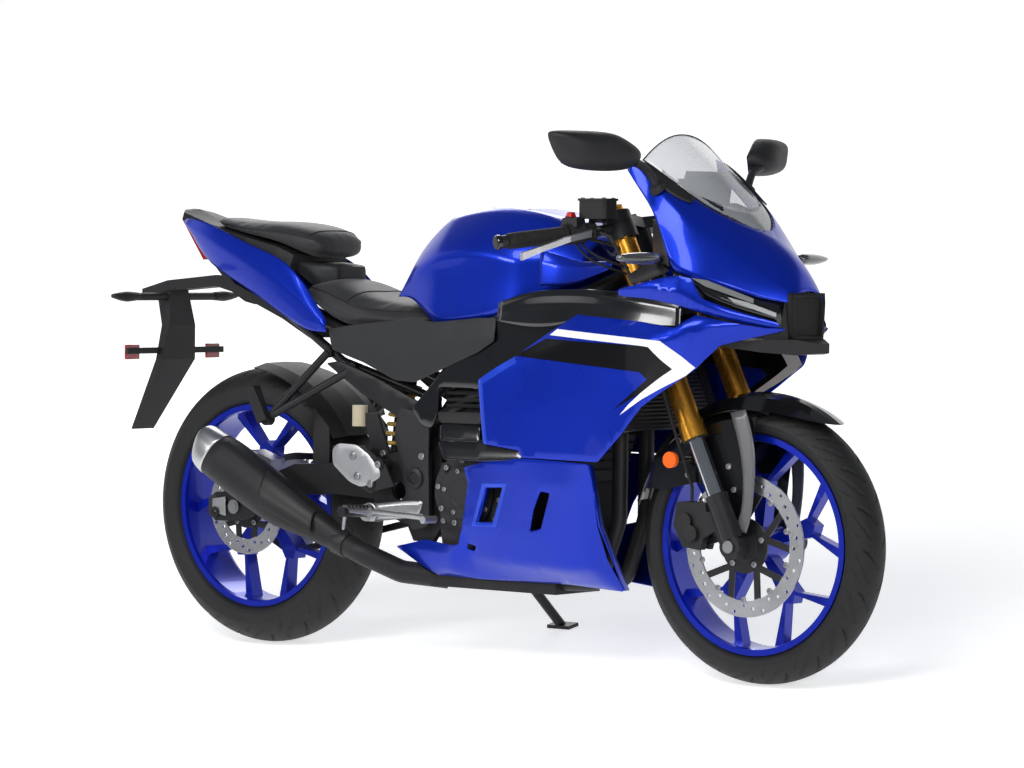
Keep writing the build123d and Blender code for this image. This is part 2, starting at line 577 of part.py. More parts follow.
def shock():
    """Damper with an eye at each end, and its spring."""
    low, high = Vector(*SHOCK_LOW), Vector(*SHOCK_TOP)
    along = (high - low).normalized()
    body = rod(low + along * 8, low + along * 150, 17) + rod(low + along * 130, high - along * 14, 24)
    body += rod(low + along * 26, low + along * 32, 37) + rod(low + along * 170, low + along * 177, 37)
    body += disc_y((low.X, low.Z), 13, -18.7, 18.7) + disc_y((high.X, high.Z), 19, -22, 22)
    body -= disc_y((low.X, low.Z), 6 + RUNNING_GAP, -40, 40)
    body -= disc_y((high.X, high.Z), 12 + RUNNING_GAP, -40, 40)
    spring = rod(low + along * 32, low + along * 170, 33) - rod(low + along * 20, low + along * 180, 26)
    return body.solids()[0], spring.solids()[0]


def chain_path():
    """Centers of the chain's pins round both sprockets, tangent to their pitch circles."""
    big = CHAIN_PITCH / (2 * math.sin(math.pi / REAR_TEETH))
    small = CHAIN_PITCH / (2 * math.sin(math.pi / FRONT_TEETH))
    c0, c1 = Vector(0, 0, REAR_AXLE.Z), Vector(*FRONT_SPROCKET)
    span = c1 - c0
    base = math.atan2(span.Z, span.X)
    tilt = math.acos((big - small) / span.length)
    return big, small, c0, c1, base, tilt


def chain():
    big, small, c0, c1, base, tilt = chain_path()
    def outline(grow):
        points = []
        turn = 2 * math.pi - 2 * tilt
        for i in range(13):
            a = base + tilt + turn * i / 12
            points.append((c0.X + (big + grow) * math.cos(a), c0.Z + (big + grow) * math.sin(a)))
        for i in range(9):
            a = base - tilt + 2 * tilt * i / 8
            points.append((c1.X + (small + grow) * math.cos(a), c1.Z + (small + grow) * math.sin(a)))
        return points
    half = CHAIN_PLATE_HEIGHT / 2
    loop = None
    for side in (-1, 1):
        a = CHAIN_Y + side * CHAIN_INNER_WIDTH / 2
        b = a + side * CHAIN_PLATE
        band = slab(outline(half), min(a, b), max(a, b)) - slab(outline(-half), min(a, b) - 1, max(a, b) + 1)
        loop = band if loop is None else loop + band
    roof = slab(outline(half), CHAIN_Y - CHAIN_INNER_WIDTH / 2, CHAIN_Y + CHAIN_INNER_WIDTH / 2)
    roof -= slab(outline(half - 3.6), CHAIN_Y - 20, CHAIN_Y + 20)
    return (loop + roof).solids()[0]


def hugger():
    outer = [(330, 0), (328, 60), (318, 101)]
    inner = [(318 - PANEL, 98), (325, 58), (327, 0)]
    ring = [(r, -y) for r, y in reversed(outer[1:])] + outer + inner[:2] + [inner[2]] + [(r, -y) for r, y in reversed(inner[:2])]
    guard = turned(ring, REAR_AXLE, start=84.0, arc=53.0)
    legs = []
    for side in (-1, 1):
        legs.append(slab([(214, 420.2), (262, 422.6), (262, 500), (214, 548)], min(side * 97, side * 101), max(side * 97, side * 101)))
    shape = guard
    for leg in legs:
        shape += leg
    return shape.solids()[0]


def rearset(side):
    """Heel plate, bracket, peg and boss on one side."""
    y = side * 168
    plate = slab([(336, 466), (425, 470), (488, 430), (514, 384), (442, 366), (356, 414)], min(y, y + side * 6), max(y, y + side * 6))
    hanger = slab([(430, 300), (430, 400), (470, 452), (560, 470), (584, 450), (584, 300), (520, 300), (480, 312)],
                  min(side * 128, side * 140), max(side * 128, side * 140))
    hanger -= disc_y((500, 372), 20, -200, 200)
    if side < 0:
        hanger += slab([(440, 396), (476, 440), (436, 540), (401.3, 540), (401.3, 516)], -140, -134)
    for x, z in ((448, 386), (470, 430)):
        hanger += disc_y((x, z), 11, min(side * 139, side * 169), max(side * 139, side * 169))
    for x, z in ((566, 450), (566, 318)):
        hanger += disc_y((x, z), 13, min(side * 113, side * 130), max(side * 113, side * 130))
    peg = rod((440, side * 139, 323), (438, side * 262, 329), 12)
    peg += disc_y((440, 323), 19, min(side * 138, side * 170), max(side * 138, side * 170))
    return (hanger + peg + plate).solids()[0]


def foot_levers():
    """The brake pedal turns on the right peg's boss, the shift lever on a pin of its bracket."""
    brake = disc_y((440, 323), 19, -181, -170.3)
    brake += tube([(458, -176, 325), (560, -184, 322), (640, -186, 318)], 6, 20) + rod((640, -184, 318), (640, -226, 318), 8)
    brake -= rod((440, -139, 323), (438, -262, 329), 12 + RUNNING_GAP)
    shift = disc_y((560, 380), 11, 140.3, 152)
    shift += tube([(562, 147, 376), (600, 178, 340), (648, 186, 330)], 6, 20) + rod((648, 184, 330), (648, 226, 330), 8)
    return brake.solids()[0], shift.solids()[0]


def passenger_bracket(side):
    stay = None
    for x, z in ((268, 668.9), (340, 638.2)):
        arm = tube([(x, side * 115.6, z), (x - 8, side * 120, z - 10), (152, side * 182, 523)], 9, 12)
        arm += disc_y((x, z), 11, *sorted((side * 106.4, side * 117)))
        stay = arm if stay is None else stay + arm
    stay += disc_y((150, 520), 15, *sorted((side * 174, side * 190)))
    peg = skin([[(138, side * 189, 510), (166, side * 189, 520), (166, side * 204, 520), (138, side * 204, 510)],
                [(108, side * 191, 588), (134, side * 191, 594), (134, side * 214, 594), (108, side * 214, 588)]])
    return (stay + peg).solids()[0]


def rear_brake():
    pad = caliper([(28, 396), (88, 392), (98, 424), (36, 444)], (REAR_AXLE.X, REAR_AXLE.Z), REAR_DISC_Y,
                  REAR_DISC_RADIUS + 6, [(28, 396), (60, 392), (60, 420), (28, 420)])
    carrier = slab([(-18, 304), (18, 296), (64, 392), (30, 398)], REAR_DISC_Y - 12.4, REAR_DISC_Y - 8)
    carrier -= disc_y((0, REAR_AXLE.Z), AXLE_RADIUS + RUNNING_GAP, -140, 140)
    return (pad + carrier).solids()[0]


# ---- bodywork ----------------------------------------------------------------------------
def pair(shape):
    """A piece of the left side and its mirror image."""
    shape = shape.solids()[0]
    return Compound(children=[shape, mirrored(shape)])


def tank():
    table = [  # x, top z, shoulder (y, z), side (y, z), low (y, z)
        (452, 806, (60, 804), (96, 800), (98, 796)),
        (500, 915, (74, 900), (118, 842), (116, 794)),
        (580, 964, (88, 950), (140, 880), (134, 776)),
        (600, 968, (90, 954), (143, 884), (138, 726)),
        (690, 982, (104, 966), (158, 900), (148, 742)),
        (831, 980, (112, 962), (160, 880), (157.7, 800)),
        (885, 972, (104, 952), (136, 884), (136, 812)),
        (930, 958, (94, 938), (122, 884), (128, 822)),
        (985, 930, (76, 912), (108, 876), (116, 835))]
    sections = []
    for x, top, *half in table:
        half = [(0, top)] + list(half)
        line = both_sides(half)
        sections.append([(x, y, z) for y, z in line])
    shape = skin(sections)
    hollow = slab([(590, 700), (590, 770), (700, 790), (800, 830), (1010, 850), (1010, 700)], -112, 112)
    shape -= hollow
    shape -= Pos(*FILLER) * Cylinder(FILLER_RADIUS + RUNNING_GAP, 24)
    return shape.solids()[0]


def filler():
    """The ring in the tank's top and the hinged cap in it."""
    x, y, z = FILLER
    hinge_x, _, hinge_z = CAP_HINGE
    ring = Pos(x, y, z) * (Cylinder(FILLER_RADIUS, 22) - Cylinder(FILLER_RADIUS - 8, 30))
    ring -= block(hinge_x - 6, hinge_x + 12, -10, 10, z + 3, z + 20)
    for side in (-1, 1):
        y0, y1 = sorted((side * 9.5, side * 13))
        ring += block(hinge_x - 4, hinge_x + 4, y0, y1, z + 8, hinge_z) + disc_y((hinge_x, hinge_z), 4, y0, y1)
    ring += disc_y((hinge_x, hinge_z), CAP_PIN, -12, 12)
    lid = Pos(x, y, z + 11) * Cylinder(FILLER_RADIUS - 14, 10) + Pos(x, y, z + 17) * Cylinder(FILLER_RADIUS - 9, 4)
    lid += block(hinge_x, hinge_x + 20, -8, 8, z + 15, z + 19) + disc_y((hinge_x, hinge_z), 5, -8, 8)
    lid -= disc_y((hinge_x, hinge_z), CAP_PIN + RUNNING_GAP, -20, 20)
    return ring.solids()[0], lid.solids()[0]


def seats():
    rider = [  # x, top z, edge (y, z), low (y, z)
        (150, 836, (96, 822), (92, 800)), (269, 834, (123, 800), (129.75, 740.05)), (350, 800, (128, 776), (136, 730)),
        (430, 786, (112, 768), (132, 728)), (520, 782, (104, 768), (124, 734)), (579, 768, (100, 760), (114, 738))]
    sections = [[(x, y, z) for y, z in both_sides([(0, top), edge, low])] for x, top, edge, low in rider]
    front = skin(sections)
    rear = [  # x, top z, shoulder (y, z), edge (y, z), low (y, z)
        (-150, 976, (50, 974), (62, 968), (60, 958)), (0, 962, (84, 958), (100, 944), (96, 926)),
        (95, 966, (88, 962), (104, 936), (100, 905)), (180, 948, (84, 944), (100, 928), (92, 872)),
        (228, 922, (62, 920), (80, 910), (70, 866))]
    sections = [[(x, y, z) for y, z in both_sides([(0, top), shoulder, edge, low])] for x, top, shoulder, edge, low in rear]
    return front, skin(sections)


def tail():
    side = [  # x, top (y, z), crease (y, z), bottom (y, z)
        (-214, (64, 968), (72, 958), (66, 946)), (-158, (85, 966), (90, 940), (72, 880)), (-92, (98, 950), (104, 910), (84, 846)),
        (40, (112, 902), (122, 866), (112, 800)), (134, (118, 880), (132, 823), (122, 752)), (222, (122, 800), (138, 776), (132, 716)),
        (282, (134, 740), (141, 730), (138, 714))]
    panel = sheet([(x, *line) for x, *line in side], PANEL)
    top = [  # x, top z, edge (y, z), low (y, z)
        (-249, 991, (30, 988), (34, 980)), (-232, 990, (52, 982), (58, 966)), (-150, 957.7, (58, 957), (78, 950)), (0, 925.7, (94, 925), (100, 898)),
        (95, 904.7, (92, 904), (104, 870)), (140, 887.2, (88, 886), (104, 850))]
    sections = [[(x, y, z) for y, z in both_sides([(0, t), edge, low])] for x, t, edge, low in top]
    deck = skin(sections)
    lamp = skin([[(-236, y, 968), (-226, y, 962.6), (-150, y, 876), (-168, y, 872)] for y in (-57, 57)])
    under = skin([[(x, -w, z), (x, w, z), (x, w, z + h), (x, -w, z + h)] for x, w, z, h in
                  ((-140, 56, 868, 16), (-60, 66, 800, 20), (90, 70, 742, 20), (180, 78, 700, 20))])
    return pair(panel), deck, lamp, under


def plate_hanger():
    arm = skin([[(x, -w, z), (x, w, z), (x, w, z + h), (x, -w, z + h)] for x, w, z, h in
                ((-30, 30, 772, 16.1), (-60, 30, 778, 21.7), (-100, 31, 800, 33.7), (-150, 32, 812, 26),
                 (-300, 34, 800, 24), (-389, 26, 782, 21))])
    tongue = skin([[(x - d, -w, z), (x - d, w, z), (x + d, w, z), (x + d, -w, z)] for x, z, w, d in
                   ((-316, 802, 30, 22), (-296, 720, 44, 12), (-305, 640, 58, 8), (-410, 474, 34, 4))])
    cross = block(-310, -302, -162, 162, 654, 668)
    stalks = rod((-305, -128, 786), (-305, 128, 786), 9)
    return join([arm, tongue, cross, stalks]).solids()[0]


def rear_lights():
    lamps, reflectors = [], []
    for side in (-1, 1):
        lamps.append(skin([[(-322, side * 128, 774), (-290, side * 128, 776), (-290, side * 128, 798), (-322, side * 128, 798)],
                           [(-324, side * 170, 770), (-286, side * 170, 772), (-288, side * 170, 802), (-322, side * 170, 800)],
                           [(-314, side * 212, 782), (-296, side * 212, 782), (-298, side * 212, 794), (-312, side * 212, 794)]]))
        reflectors.append(block(-318.5, -310.3, *sorted((side * 112, side * 160)), 640, 676))
    return lamps, reflectors


def side_fairing():
    table = [  # x, top (y, z), crease (y, z), middle (y, z), low (y, z)
        (757, (184, 655), (187, 640), (187, 560), (184, 486)),
        (809, (187, 668), (192, 650), (192, 560), (187, 478)),
        (881, (189, 700), (197, 662), (197, 560), (190, 461)),
        (1045, (194, 766), (212, 712), (206, 600), (194, 458)),
        (1077, (198, 764), (215, 714), (208, 602), (195, 457)),
        (1191, (208, 756), (224, 716), (214, 630), (206, 549)),
        (1259, (214, 750), (230, 720), (220, 662), (206, 606)),
        (1300, (212, 756), (226, 728), (214, 690), (200, 636)),
        (1341, (200, 770), (214, 748), (206, 708), (194, 664)),
        (1379, (178, 772), (190, 752), (184, 738), (168, 715)),
        (1440, (126, 768), (134, 752), (130, 744), (118, 727)),
        (1485, (74, 760), (80, 750), (78, 746), (70, 738))]
    return pair(sheet(table, PANEL))


def lower_cowl():
    table = [  # x, top (y, z), upper (y, z), ledge (y, z), low (y, z), keel (y, z)
        (476, (122, 262), (123, 258), (123, 255), (122, 251), (120, 246)),
        (566, (128, 269), (129, 258), (129, 240), (124, 218), (114, 200)),
        (640, (138, 262), (140, 250), (138, 230), (124, 205), (96, 184)),
        (672, (150, 300), (150, 288), (148, 262), (128, 222), (96, 186)),
        (700, (164, 431), (162, 380), (156, 300), (134, 240), (96, 184)),
        (790, (180, 452), (174, 396), (164, 300), (140, 232), (90, 182)),
        (881, (189, 460), (182, 400), (168, 298), (144, 228), (84, 182)),
        (960, (192, 457), (186, 400), (172, 310), (146, 226), (78, 182)),
        (1030, (194, 456), (188, 410), (170, 318), (140, 232), (68, 178)),
        (1066, (195, 455), (184, 421), (156, 322), (120, 250), (60, 176)),
        (1086, (190, 440), (160, 380), (120, 300), (94, 240), (56, 174))]
    cowl = sheet([row for row in table[:-1]], PANEL)
    cowl -= slab([(769, 392), (821, 395), (786, 316), (735, 314)], 100, 220)
    cowl -= slab([(949, 385), (957, 380), (900, 294), (888, 298)], 100, 220)
    left = cowl - block(440, 630, 90, 240, 160, 300)
    return left.solids()[0], mirrored(cowl).solids()[0]


def nose_side(depth):
    table = [  # x, top (y, z), crease (y, z), low (y, z)
        (1135, (152, 1100), (158, 1090), (162, 1070)),
        (1180, (143, 1078), (158, 1062), (172, 1028)),
        (1251, (128, 1030), (166, 1000), (182, 962)),
        (1270, (122, 1016), (166, 984), (192, 864)),
        (1306, (110, 992), (152, 948), (188, 852)),
        (1348, (74, 965), (130, 920), (166, 838)),
        (1392, (0.3, 934), (100, 878), (120, 822)),
        (1423, (0.3, 906), (75, 845), (92, 812)),
        (1463, (0.3, 862), (48, 822), (54, 812))]
    return sheet(table, depth)


def screen():
    table = [  # x, middle z, quarter (y, z), edge (y, z)
        (1384, 940, (3, 940), (6, 939)), (1348, 976, (38, 973), (71.6, 966)), (1306, 1018, (60, 1010), (107.6, 994)),
        (1251, 1076, (72, 1064), (125.6, 1032)), (1200, 1122, (78, 1108), (136.6, 1069)), (1160, 1154, (82, 1138), (144, 1093))]
    return sheet([(x, *both_sides([(0, top), quarter, edge])) for x, top, quarter, edge in table], PANEL)


LAMP_HOUSING = [  # x, half width at the bottom, z low, z high
    (1322, 150, 776, 836), (1379, 136, 728, 822), (1440, 92, 722, 807.4), (1478, 50, 722, 807.4)]
LAMP_HOUSING_TAPER = 0.92       # its top is this much narrower


def lamp_housing_side(x, z):
    """Half width of the lamp housing at a point of its side."""
    for (x0, w0, low0, high0), (x1, w1, low1, high1) in zip(LAMP_HOUSING, LAMP_HOUSING[1:]):
        if x0 <= x <= x1:
            t = (x - x0) / (x1 - x0)
            w, low, high = w0 + (w1 - w0) * t, low0 + (low1 - low0) * t, high0 + (high1 - high0) * t
            return w * (1 + (LAMP_HOUSING_TAPER - 1) * (z - low) / (high - low))


def front_core():
    """The black housing round the lamps and the intake, and the chin below it."""
    taper = LAMP_HOUSING_TAPER
    body = skin([[(x, -w, low), (x, w, low), (x, w * taper, high), (x, -w * taper, high)]
                 for x, w, low, high in LAMP_HOUSING])
    body -= block(1420, 1500, -40, 40, 738, 796)
    chin = skin([[(x, -w, low), (x, w, low), (x, w, high), (x, -w, high)] for x, w, low, high in
                 ((1376, 148, 706, 714), (1440, 108, 696, 722), (1490, 54, 690, 722), (1526, 20, 694, 714))])
    strips = []
    for side in (-1, 1):
        for stations, drop in (((1379, 1440), 10), ((1400, 1440, 1462), 32)):
            rows = []
            for x in stations:
                top = 822 + (x - 1379) * (807.4 - 822) / 61 if x < 1440 else 807.4
                high, low = top - drop, top - drop - 9
                rows.append([(x, side * (lamp_housing_side(x, low) + RUNNING_GAP), low),
                             (x, side * (lamp_housing_side(x, low) + 3), low),
                             (x, side * (lamp_housing_side(x, high) + 3), high),
                             (x, side * (lamp_housing_side(x, high) + RUNNING_GAP), high)])
            strips.append(skin(rows))
    return (body + chin).solids()[0], strips


def mirrors():
    outline = [(188, 1106), (219, 1124), (254, 1143), (287, 1148), (410, 1149), (417, 1143), (383, 1075), (346, 1067),
               (279, 1063), (207, 1068)]
    middle = (300.0, 1106.0)
    rows = []
    for x, k in ((1146, 1.0), (1166, 1.0), (1190, 0.82), (1202, 0.5)):
        rows.append([(x, middle[0] + (y - middle[0]) * k, middle[1] + (z - middle[1]) * k) for y, z in outline])
    body = skin(rows)
    body += tube([(1172, 214, 1086), (1188, 184, 1072), (1206, 170, 1050)], 9, 14)
    body += rod((1206, 171, 1052), (1212, 158, 1036), 13)
    return (body - nose_side(40.0)).solids()[0]


def cockpit():
    dash = skin([[(x, -w, z), (x, w, z), (x, w, z + 5), (x, -w, z + 5)] for x, w, z in
                 ((1366, 34, 928), (1306, 84, 966), (1250, 104, 992), (1222, 108, 1000))])
    panel = skin([[(1198, y, 1001), (1230, y, 1001), (1240, y, 1062), (1222, y, 1070)] for y in (-72, 72)])
    return (dash + panel).solids()[0]


def front_indicators():
    lamps = []
    for side in (-1, 1):
        stem = rod((1290, 170, 879), (1285, 264, 886), 9) - nose_side(30.0)
        stem = stem if side > 0 else mirrored(stem)
        lamp = skin([[(1262, side * 262, 872), (1304, side * 262, 876), (1302, side * 262, 900), (1264, side * 262, 898)],
                     [(1256, side * 320, 868), (1300, side * 320, 874), (1294, side * 320, 902), (1258, side * 320, 900)],
                     [(1262, side * 368, 880), (1284, side * 368, 882), (1282, side * 368, 894), (1264, side * 368, 894)]])
        lamps.append((stem + lamp).solids()[0])
    return lamps


def trim():
    strake = [(790, (158, 790), (166, 766)), (910, (172, 812), (186, 770)), (1068, (186, 804), (197, 772)),
              (1180, (198, 788), (207, 768)), (1246, (206, 776), (213, 766))]
    wing = [(884, (132.2, 902), (140.8, 880), (140.6, 826)), (930, (122, 890), (134.8, 872), (136.4, 826)),
            (985, (128, 878), (141.8, 866), (143.4, 832)), (1030, (141, 878), (148, 866), (149, 844)),
            (1095, (156, 880), (160, 873), (159, 864))]
    return pair(sheet(strake, PANEL)), pair(sheet(wing, PANEL) - tank())


def side_cover():
    table = [(287, (133, 708), (132, 664)), (430, (143, 718), (143, 626)), (510, (150, 728), (149, 601)),
             (600, (157, 738), (157, 634)), (683, (161, 745), (161, 667)), (740, (164, 748), (165, 680)),
             (780, (165, 736), (167, 700))]
    return pair(sheet([(x, *line) for x, *line in table], PANEL))


def stand_hinge():
    """The leg's directions down and folded away, and its pin's axis."""
    foot = Vector(STAND_FOOT_X, STAND_FOOT_Y, floor_height(STAND_FOOT_Y))
    down = (foot - STAND_PIVOT).normalized()
    axis = down.cross(STAND_FOLDED.normalized()).normalized()
    return foot, down, Plane(origin=STAND_PIVOT, x_dir=down, z_dir=axis)


def stand_leg():
    foot, down, hinge = stand_hinge()
    leg = hinge.location * (Cylinder(16, 9) - Cylinder(6.0 + RUNNING_GAP, 20))
    leg += rod(STAND_PIVOT + down * 15, foot, STAND_RADIUS)
    sole = Plane(origin=foot, x_dir=(1, 0, 0), z_dir=floor_up())
    leg += sole.location * Pos(0, 0, 4) * Box(62, 36, 8)
    leg -= sole.location * Pos(0, 0, -50) * Box(200, 200, 100)
    return leg.solids()[0]


def stand_bracket():
    """Two ears and a pin, welded to the left pivot plate."""
    foot, down, hinge = stand_hinge()
    shape = hinge.location * Cylinder(6.0, 27)
    for side in (-1, 1):
        shape += hinge.location * Pos(0, 0, side * 9.5) * Cylinder(14.5, 8)
        shape += hinge.location * Pos(-16, 0, side * 9.5) * Box(32, 24, 8)
    shape += hinge.location * Pos(-27, 0, 0) * Box(14, 24, 27)
    shape += skin([[(550, y, 256), (598, y, 256), (598, y, 296), (550, y, 296)] for y in (100, 124)])
    return shape


# ---- parking -----------------------------------------------------------------------------
def crown_radius(size):
    half = size["width"] / 2
    return (half ** 2 + size["crown"] ** 2) / (2 * size["crown"])


SIN_LEAN, COS_LEAN = math.sin(math.radians(LEAN)), math.cos(math.radians(LEAN))
TYRE_DROP = crown_radius(REAR_TYRE) * (1 - COS_LEAN)    # how far the leaning tyre reaches below z 0


def floor_height(y):
    """Height of the floor in the upright frame, y to the left of the middle plane."""
    return (y * SIN_LEAN - TYRE_DROP) / COS_LEAN


def floor_up():
    return Vector(0, -SIN_LEAN, COS_LEAN)


def chassis():
    pipe, cap = muffler()
    damper, spring = shock()
    ring, lid = filler()
    rider, passenger = seats()
    tail_sides, tail_deck, tail_lamp, under = tail()
    lamps, reflectors = rear_lights()
    cowl_left, cowl_right = lower_cowl()
    core, strips = front_core()
    strakes, wings = trim()
    brake, shift = foot_levers()
    mirror = mirrors()
    axle = disc_y((0, REAR_AXLE.Z), AXLE_RADIUS, -132, 132) + disc_y((0, REAR_AXLE.Z), 16, 125.3, 131) \
        + disc_y((0, REAR_AXLE.Z), 16, -131, -125.3)
    return {
        "main_frame": main_frame(),
        "subframe": subframe(),
        "swingarm": swingarm(),
        "rear_axle": axle.solids()[0],
        "engine": engine(),
        "exhaust_pipes": exhaust(),
        "muffler": pipe,
        "muffler_end": cap,
        "radiator": radiator(),
        "shock_absorber": damper,
        "shock_spring": spring,
        "drive_chain": chain(),
        "rear_hugger": hugger(),
        "rear_caliper": rear_brake(),
        "fuel_tank": tank(),
        "filler_ring": ring,
        "rider_saddle": rider,
        "passenger_saddle": passenger,
        "tail_panels": tail_sides,
        "tail_trays": Compound(children=[tail_deck, under]),
        "plate_hanger": plate_hanger(),
        "rear_lamps": Compound(children=[tail_lamp] + lamps + reflectors),
        "side_covers": side_cover(),
        "side_fairings": side_fairing(),
        "lower_cowls": Compound(children=[cowl_left, cowl_right]),
        "nose_panels": pair(nose_side(PANEL)),
        "front_core": core,
        "lamp_strips": Compound(children=strips),
        "windscreen": screen(),
        "cockpit": cockpit(),
        "mirrors": Compound(children=[mirror, mirrored(mirror)]),
        "front_indicators": Compound(children=front_indicators()),
        "gloss_strakes": strakes,
        "tank_wings": wings,
        "rearsets": Compound(children=[rearset(-1), rearset(1)]),
        "foot_levers": Compound(children=[brake, shift]),
        "passenger_footrests": Compound(children=[passenger_bracket(-1), passenger_bracket(1)]),
        "rear_reservoir": rod((384, -138, 510), (384, -138, 556), 17),
    }, stand_leg(), lid


def bodies():
    """Every node by the body that carries it, in the upright frame."""
    root, leg, lid = chassis()
    return {"chassis": root, "steering": steering(), "front_wheel": front_wheel(), "rear_wheel": rear_wheel(),
            "side_stand": {"side_stand_leg": leg}, "fuel_cap": {"fuel_cap": lid}}


def parked(nodes):
    """Lean the bike onto its stand, then centre its footprint on the origin with the lowest point at 0."""
    leaned = {name: shape.rotate(Axis.X, -LEAN) for name, shape in nodes.items()}
    boxes = [shape.bounding_box() for shape in leaned.values()]
    low = [min(tuple(b.min)[i] for b in boxes) for i in range(3)]
    high = [max(tuple(b.max)[i] for b in boxes) for i in range(3)]
    shift = Vector(-(low[0] + high[0]) / 2, -(low[1] + high[1]) / 2, -low[2])
    return {name: shape.translate(shift) for name, shape in leaned.items()}, shift


def main():
    os.makedirs("parts", exist_ok=True)
    nodes = {}
    for group in bodies().values():
        nodes.update(group)
    placed, shift = parked(nodes)
    for name, shape in placed.items():
        export_step(shape, f"parts/{name}.step")
    print(len(placed), "nodes; shift", shift)


if __name__ == "__main__":
    main()
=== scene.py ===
"""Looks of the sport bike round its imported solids: bodywork, tyres, wheels and fittings, with their materials."""
import math

import bmesh
import bpy
from mathutils import Matrix, Vector
from mathutils.bvhtree import BVHTree
from mathutils.geometry import delaunay_2d_cdt


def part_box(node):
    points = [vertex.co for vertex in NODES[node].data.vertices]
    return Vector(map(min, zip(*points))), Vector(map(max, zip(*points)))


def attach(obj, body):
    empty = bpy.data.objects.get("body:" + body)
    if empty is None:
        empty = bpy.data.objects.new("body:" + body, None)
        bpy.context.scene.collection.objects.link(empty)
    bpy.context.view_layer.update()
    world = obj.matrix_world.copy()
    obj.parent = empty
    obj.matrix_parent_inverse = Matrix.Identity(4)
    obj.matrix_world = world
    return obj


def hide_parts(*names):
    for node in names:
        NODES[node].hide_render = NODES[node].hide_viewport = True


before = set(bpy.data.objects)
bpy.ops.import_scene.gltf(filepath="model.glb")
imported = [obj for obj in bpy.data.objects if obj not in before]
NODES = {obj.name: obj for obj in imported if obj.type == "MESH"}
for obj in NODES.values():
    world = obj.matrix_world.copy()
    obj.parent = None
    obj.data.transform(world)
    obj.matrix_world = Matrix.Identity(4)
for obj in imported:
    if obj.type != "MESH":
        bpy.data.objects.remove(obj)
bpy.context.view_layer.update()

# ---- the bike's own upright frame, in millimetres: X forward of the rear axle, Y left, Z up ----
LEAN = math.radians(10.5)
SIN_LEAN, COS_LEAN = math.sin(LEAN), math.cos(LEAN)
WHEELBASE = 1380.0
FRONT_R, REAR_R = 293.0, 314.0
axle_low, axle_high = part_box("rear_axle")
axle_mid = (axle_low + axle_high) / 2
SHIFT = Vector((axle_mid.x, axle_mid.y - REAR_R * SIN_LEAN / 1000, axle_mid.z - REAR_R * COS_LEAN / 1000))
RAKE = math.radians(25.0)
STEER_X = Vector((math.cos(RAKE), 0, math.sin(RAKE)))
STEER_UP = Vector((-math.sin(RAKE), 0, math.cos(RAKE)))
STEER_FOOT = Vector((1475.0, 0, 0))
FORK_OFFSET = 37.7


def turn(v):
    """A direction of the upright bike as it leans."""
    x, y, z = v
    return Vector((x, y * COS_LEAN + z * SIN_LEAN, -y * SIN_LEAN + z * COS_LEAN))


def place(p):
    """A point of the upright bike, in millimetres, to the row frame in metres."""
    return turn(p) / 1000 + SHIFT


def steer(fore, left, up):
    """A point given forward of, left of and up the steering axis."""
    return STEER_FOOT + STEER_X * fore + STEER_UP * up + Vector((0, left, 0))


# ---- materials ------------------------------------------------------------------------------
CLOUD_SCALE = 10.0                 # of the slow variation in colour and gloss, per metre
WEAR_START, WEAR_FULL = 0.53, 0.62  # pointiness at which an edge starts to wear, and is worn
RELIEF_DEPTH = 0.0004              # metres


def add_node(tree, kind, *numbered, setting=(), **named):
    """A shader node. Its inputs, by number or by name, take a value or the socket that feeds them."""
    made = tree.nodes.new(f"ShaderNode{kind}")
    for key, value in setting:
        setattr(made, key, value)
    inputs = list(zip(made.inputs, numbered)) + [(made.inputs[k.replace("_", " ")], v) for k, v in named.items()]
    for socket, value in inputs:
        if isinstance(value, bpy.types.NodeSocket):
            tree.links.new(value, socket)
        else:
            socket.default_value = value
    return made


def material(name, color, rough=0.5, metal=0.0, coat=0.0, coat_rough=0.05, vary=0.12, bump=0.05, bump_scale=400.0,
             wear=0.0, wear_color=(0.3, 0.3, 0.3), rough_vary=0.15, **sockets):
    """A procedural surface: two scales of colour variation, worn edges, uneven gloss and fine relief."""
    mat = bpy.data.materials.new(name)
    mat.use_nodes = True
    tree = mat.node_tree
    shader = tree.nodes["Principled BSDF"]
    for key, value in dict(Metallic=metal, Coat_Weight=coat, Coat_Roughness=coat_rough, **sockets).items():
        shader.inputs[key.replace("_", " ")].default_value = value
    here = add_node(tree, "TexCoord").outputs["Object"]
    cloud = add_node(tree, "TexNoise", Vector=here, Scale=CLOUD_SCALE, Detail=5).outputs["Fac"]
    grain = add_node(tree, "TexNoise", Vector=here, Scale=bump_scale, Detail=3).outputs["Fac"]
    ramp = add_node(tree, "ValToRGB", Fac=cloud)
    shades = [c * (1 - vary) for c in color], [min(1, c * (1 + vary)) for c in color]
    for stop, shade, position in zip(ramp.color_ramp.elements, shades, (0.3, 0.7)):
        stop.color = (*shade, 1)
        stop.position = position
    last = ramp.outputs["Color"]
    if wear:
        point = add_node(tree, "NewGeometry").outputs["Pointiness"]
        edge = add_node(tree, "MapRange", Value=point, From_Min=WEAR_START, From_Max=WEAR_FULL, To_Max=wear)
        broken = add_node(tree, "Math", edge.outputs["Result"], grain, setting=[("operation", "MULTIPLY")])
        mix = add_node(tree, "Mix", setting=[("data_type", "RGBA")], Factor=broken.outputs["Value"], A=last,
                       B=(*wear_color, 1))
        last = mix.outputs["Result"]
    tree.links.new(last, shader.inputs["Base Color"])
    gloss = add_node(tree, "MapRange", Value=cloud, To_Min=max(0.02, rough * (1 - rough_vary)),
                     To_Max=min(1, rough * (1 + rough_vary)))
    tree.links.new(gloss.outputs["Result"], shader.inputs["Roughness"])
    relief = add_node(tree, "Bump", Strength=bump, Distance=RELIEF_DEPTH, Height=grain)
    tree.links.new(relief.outputs["Normal"], shader.inputs["Normal"])
    return mat


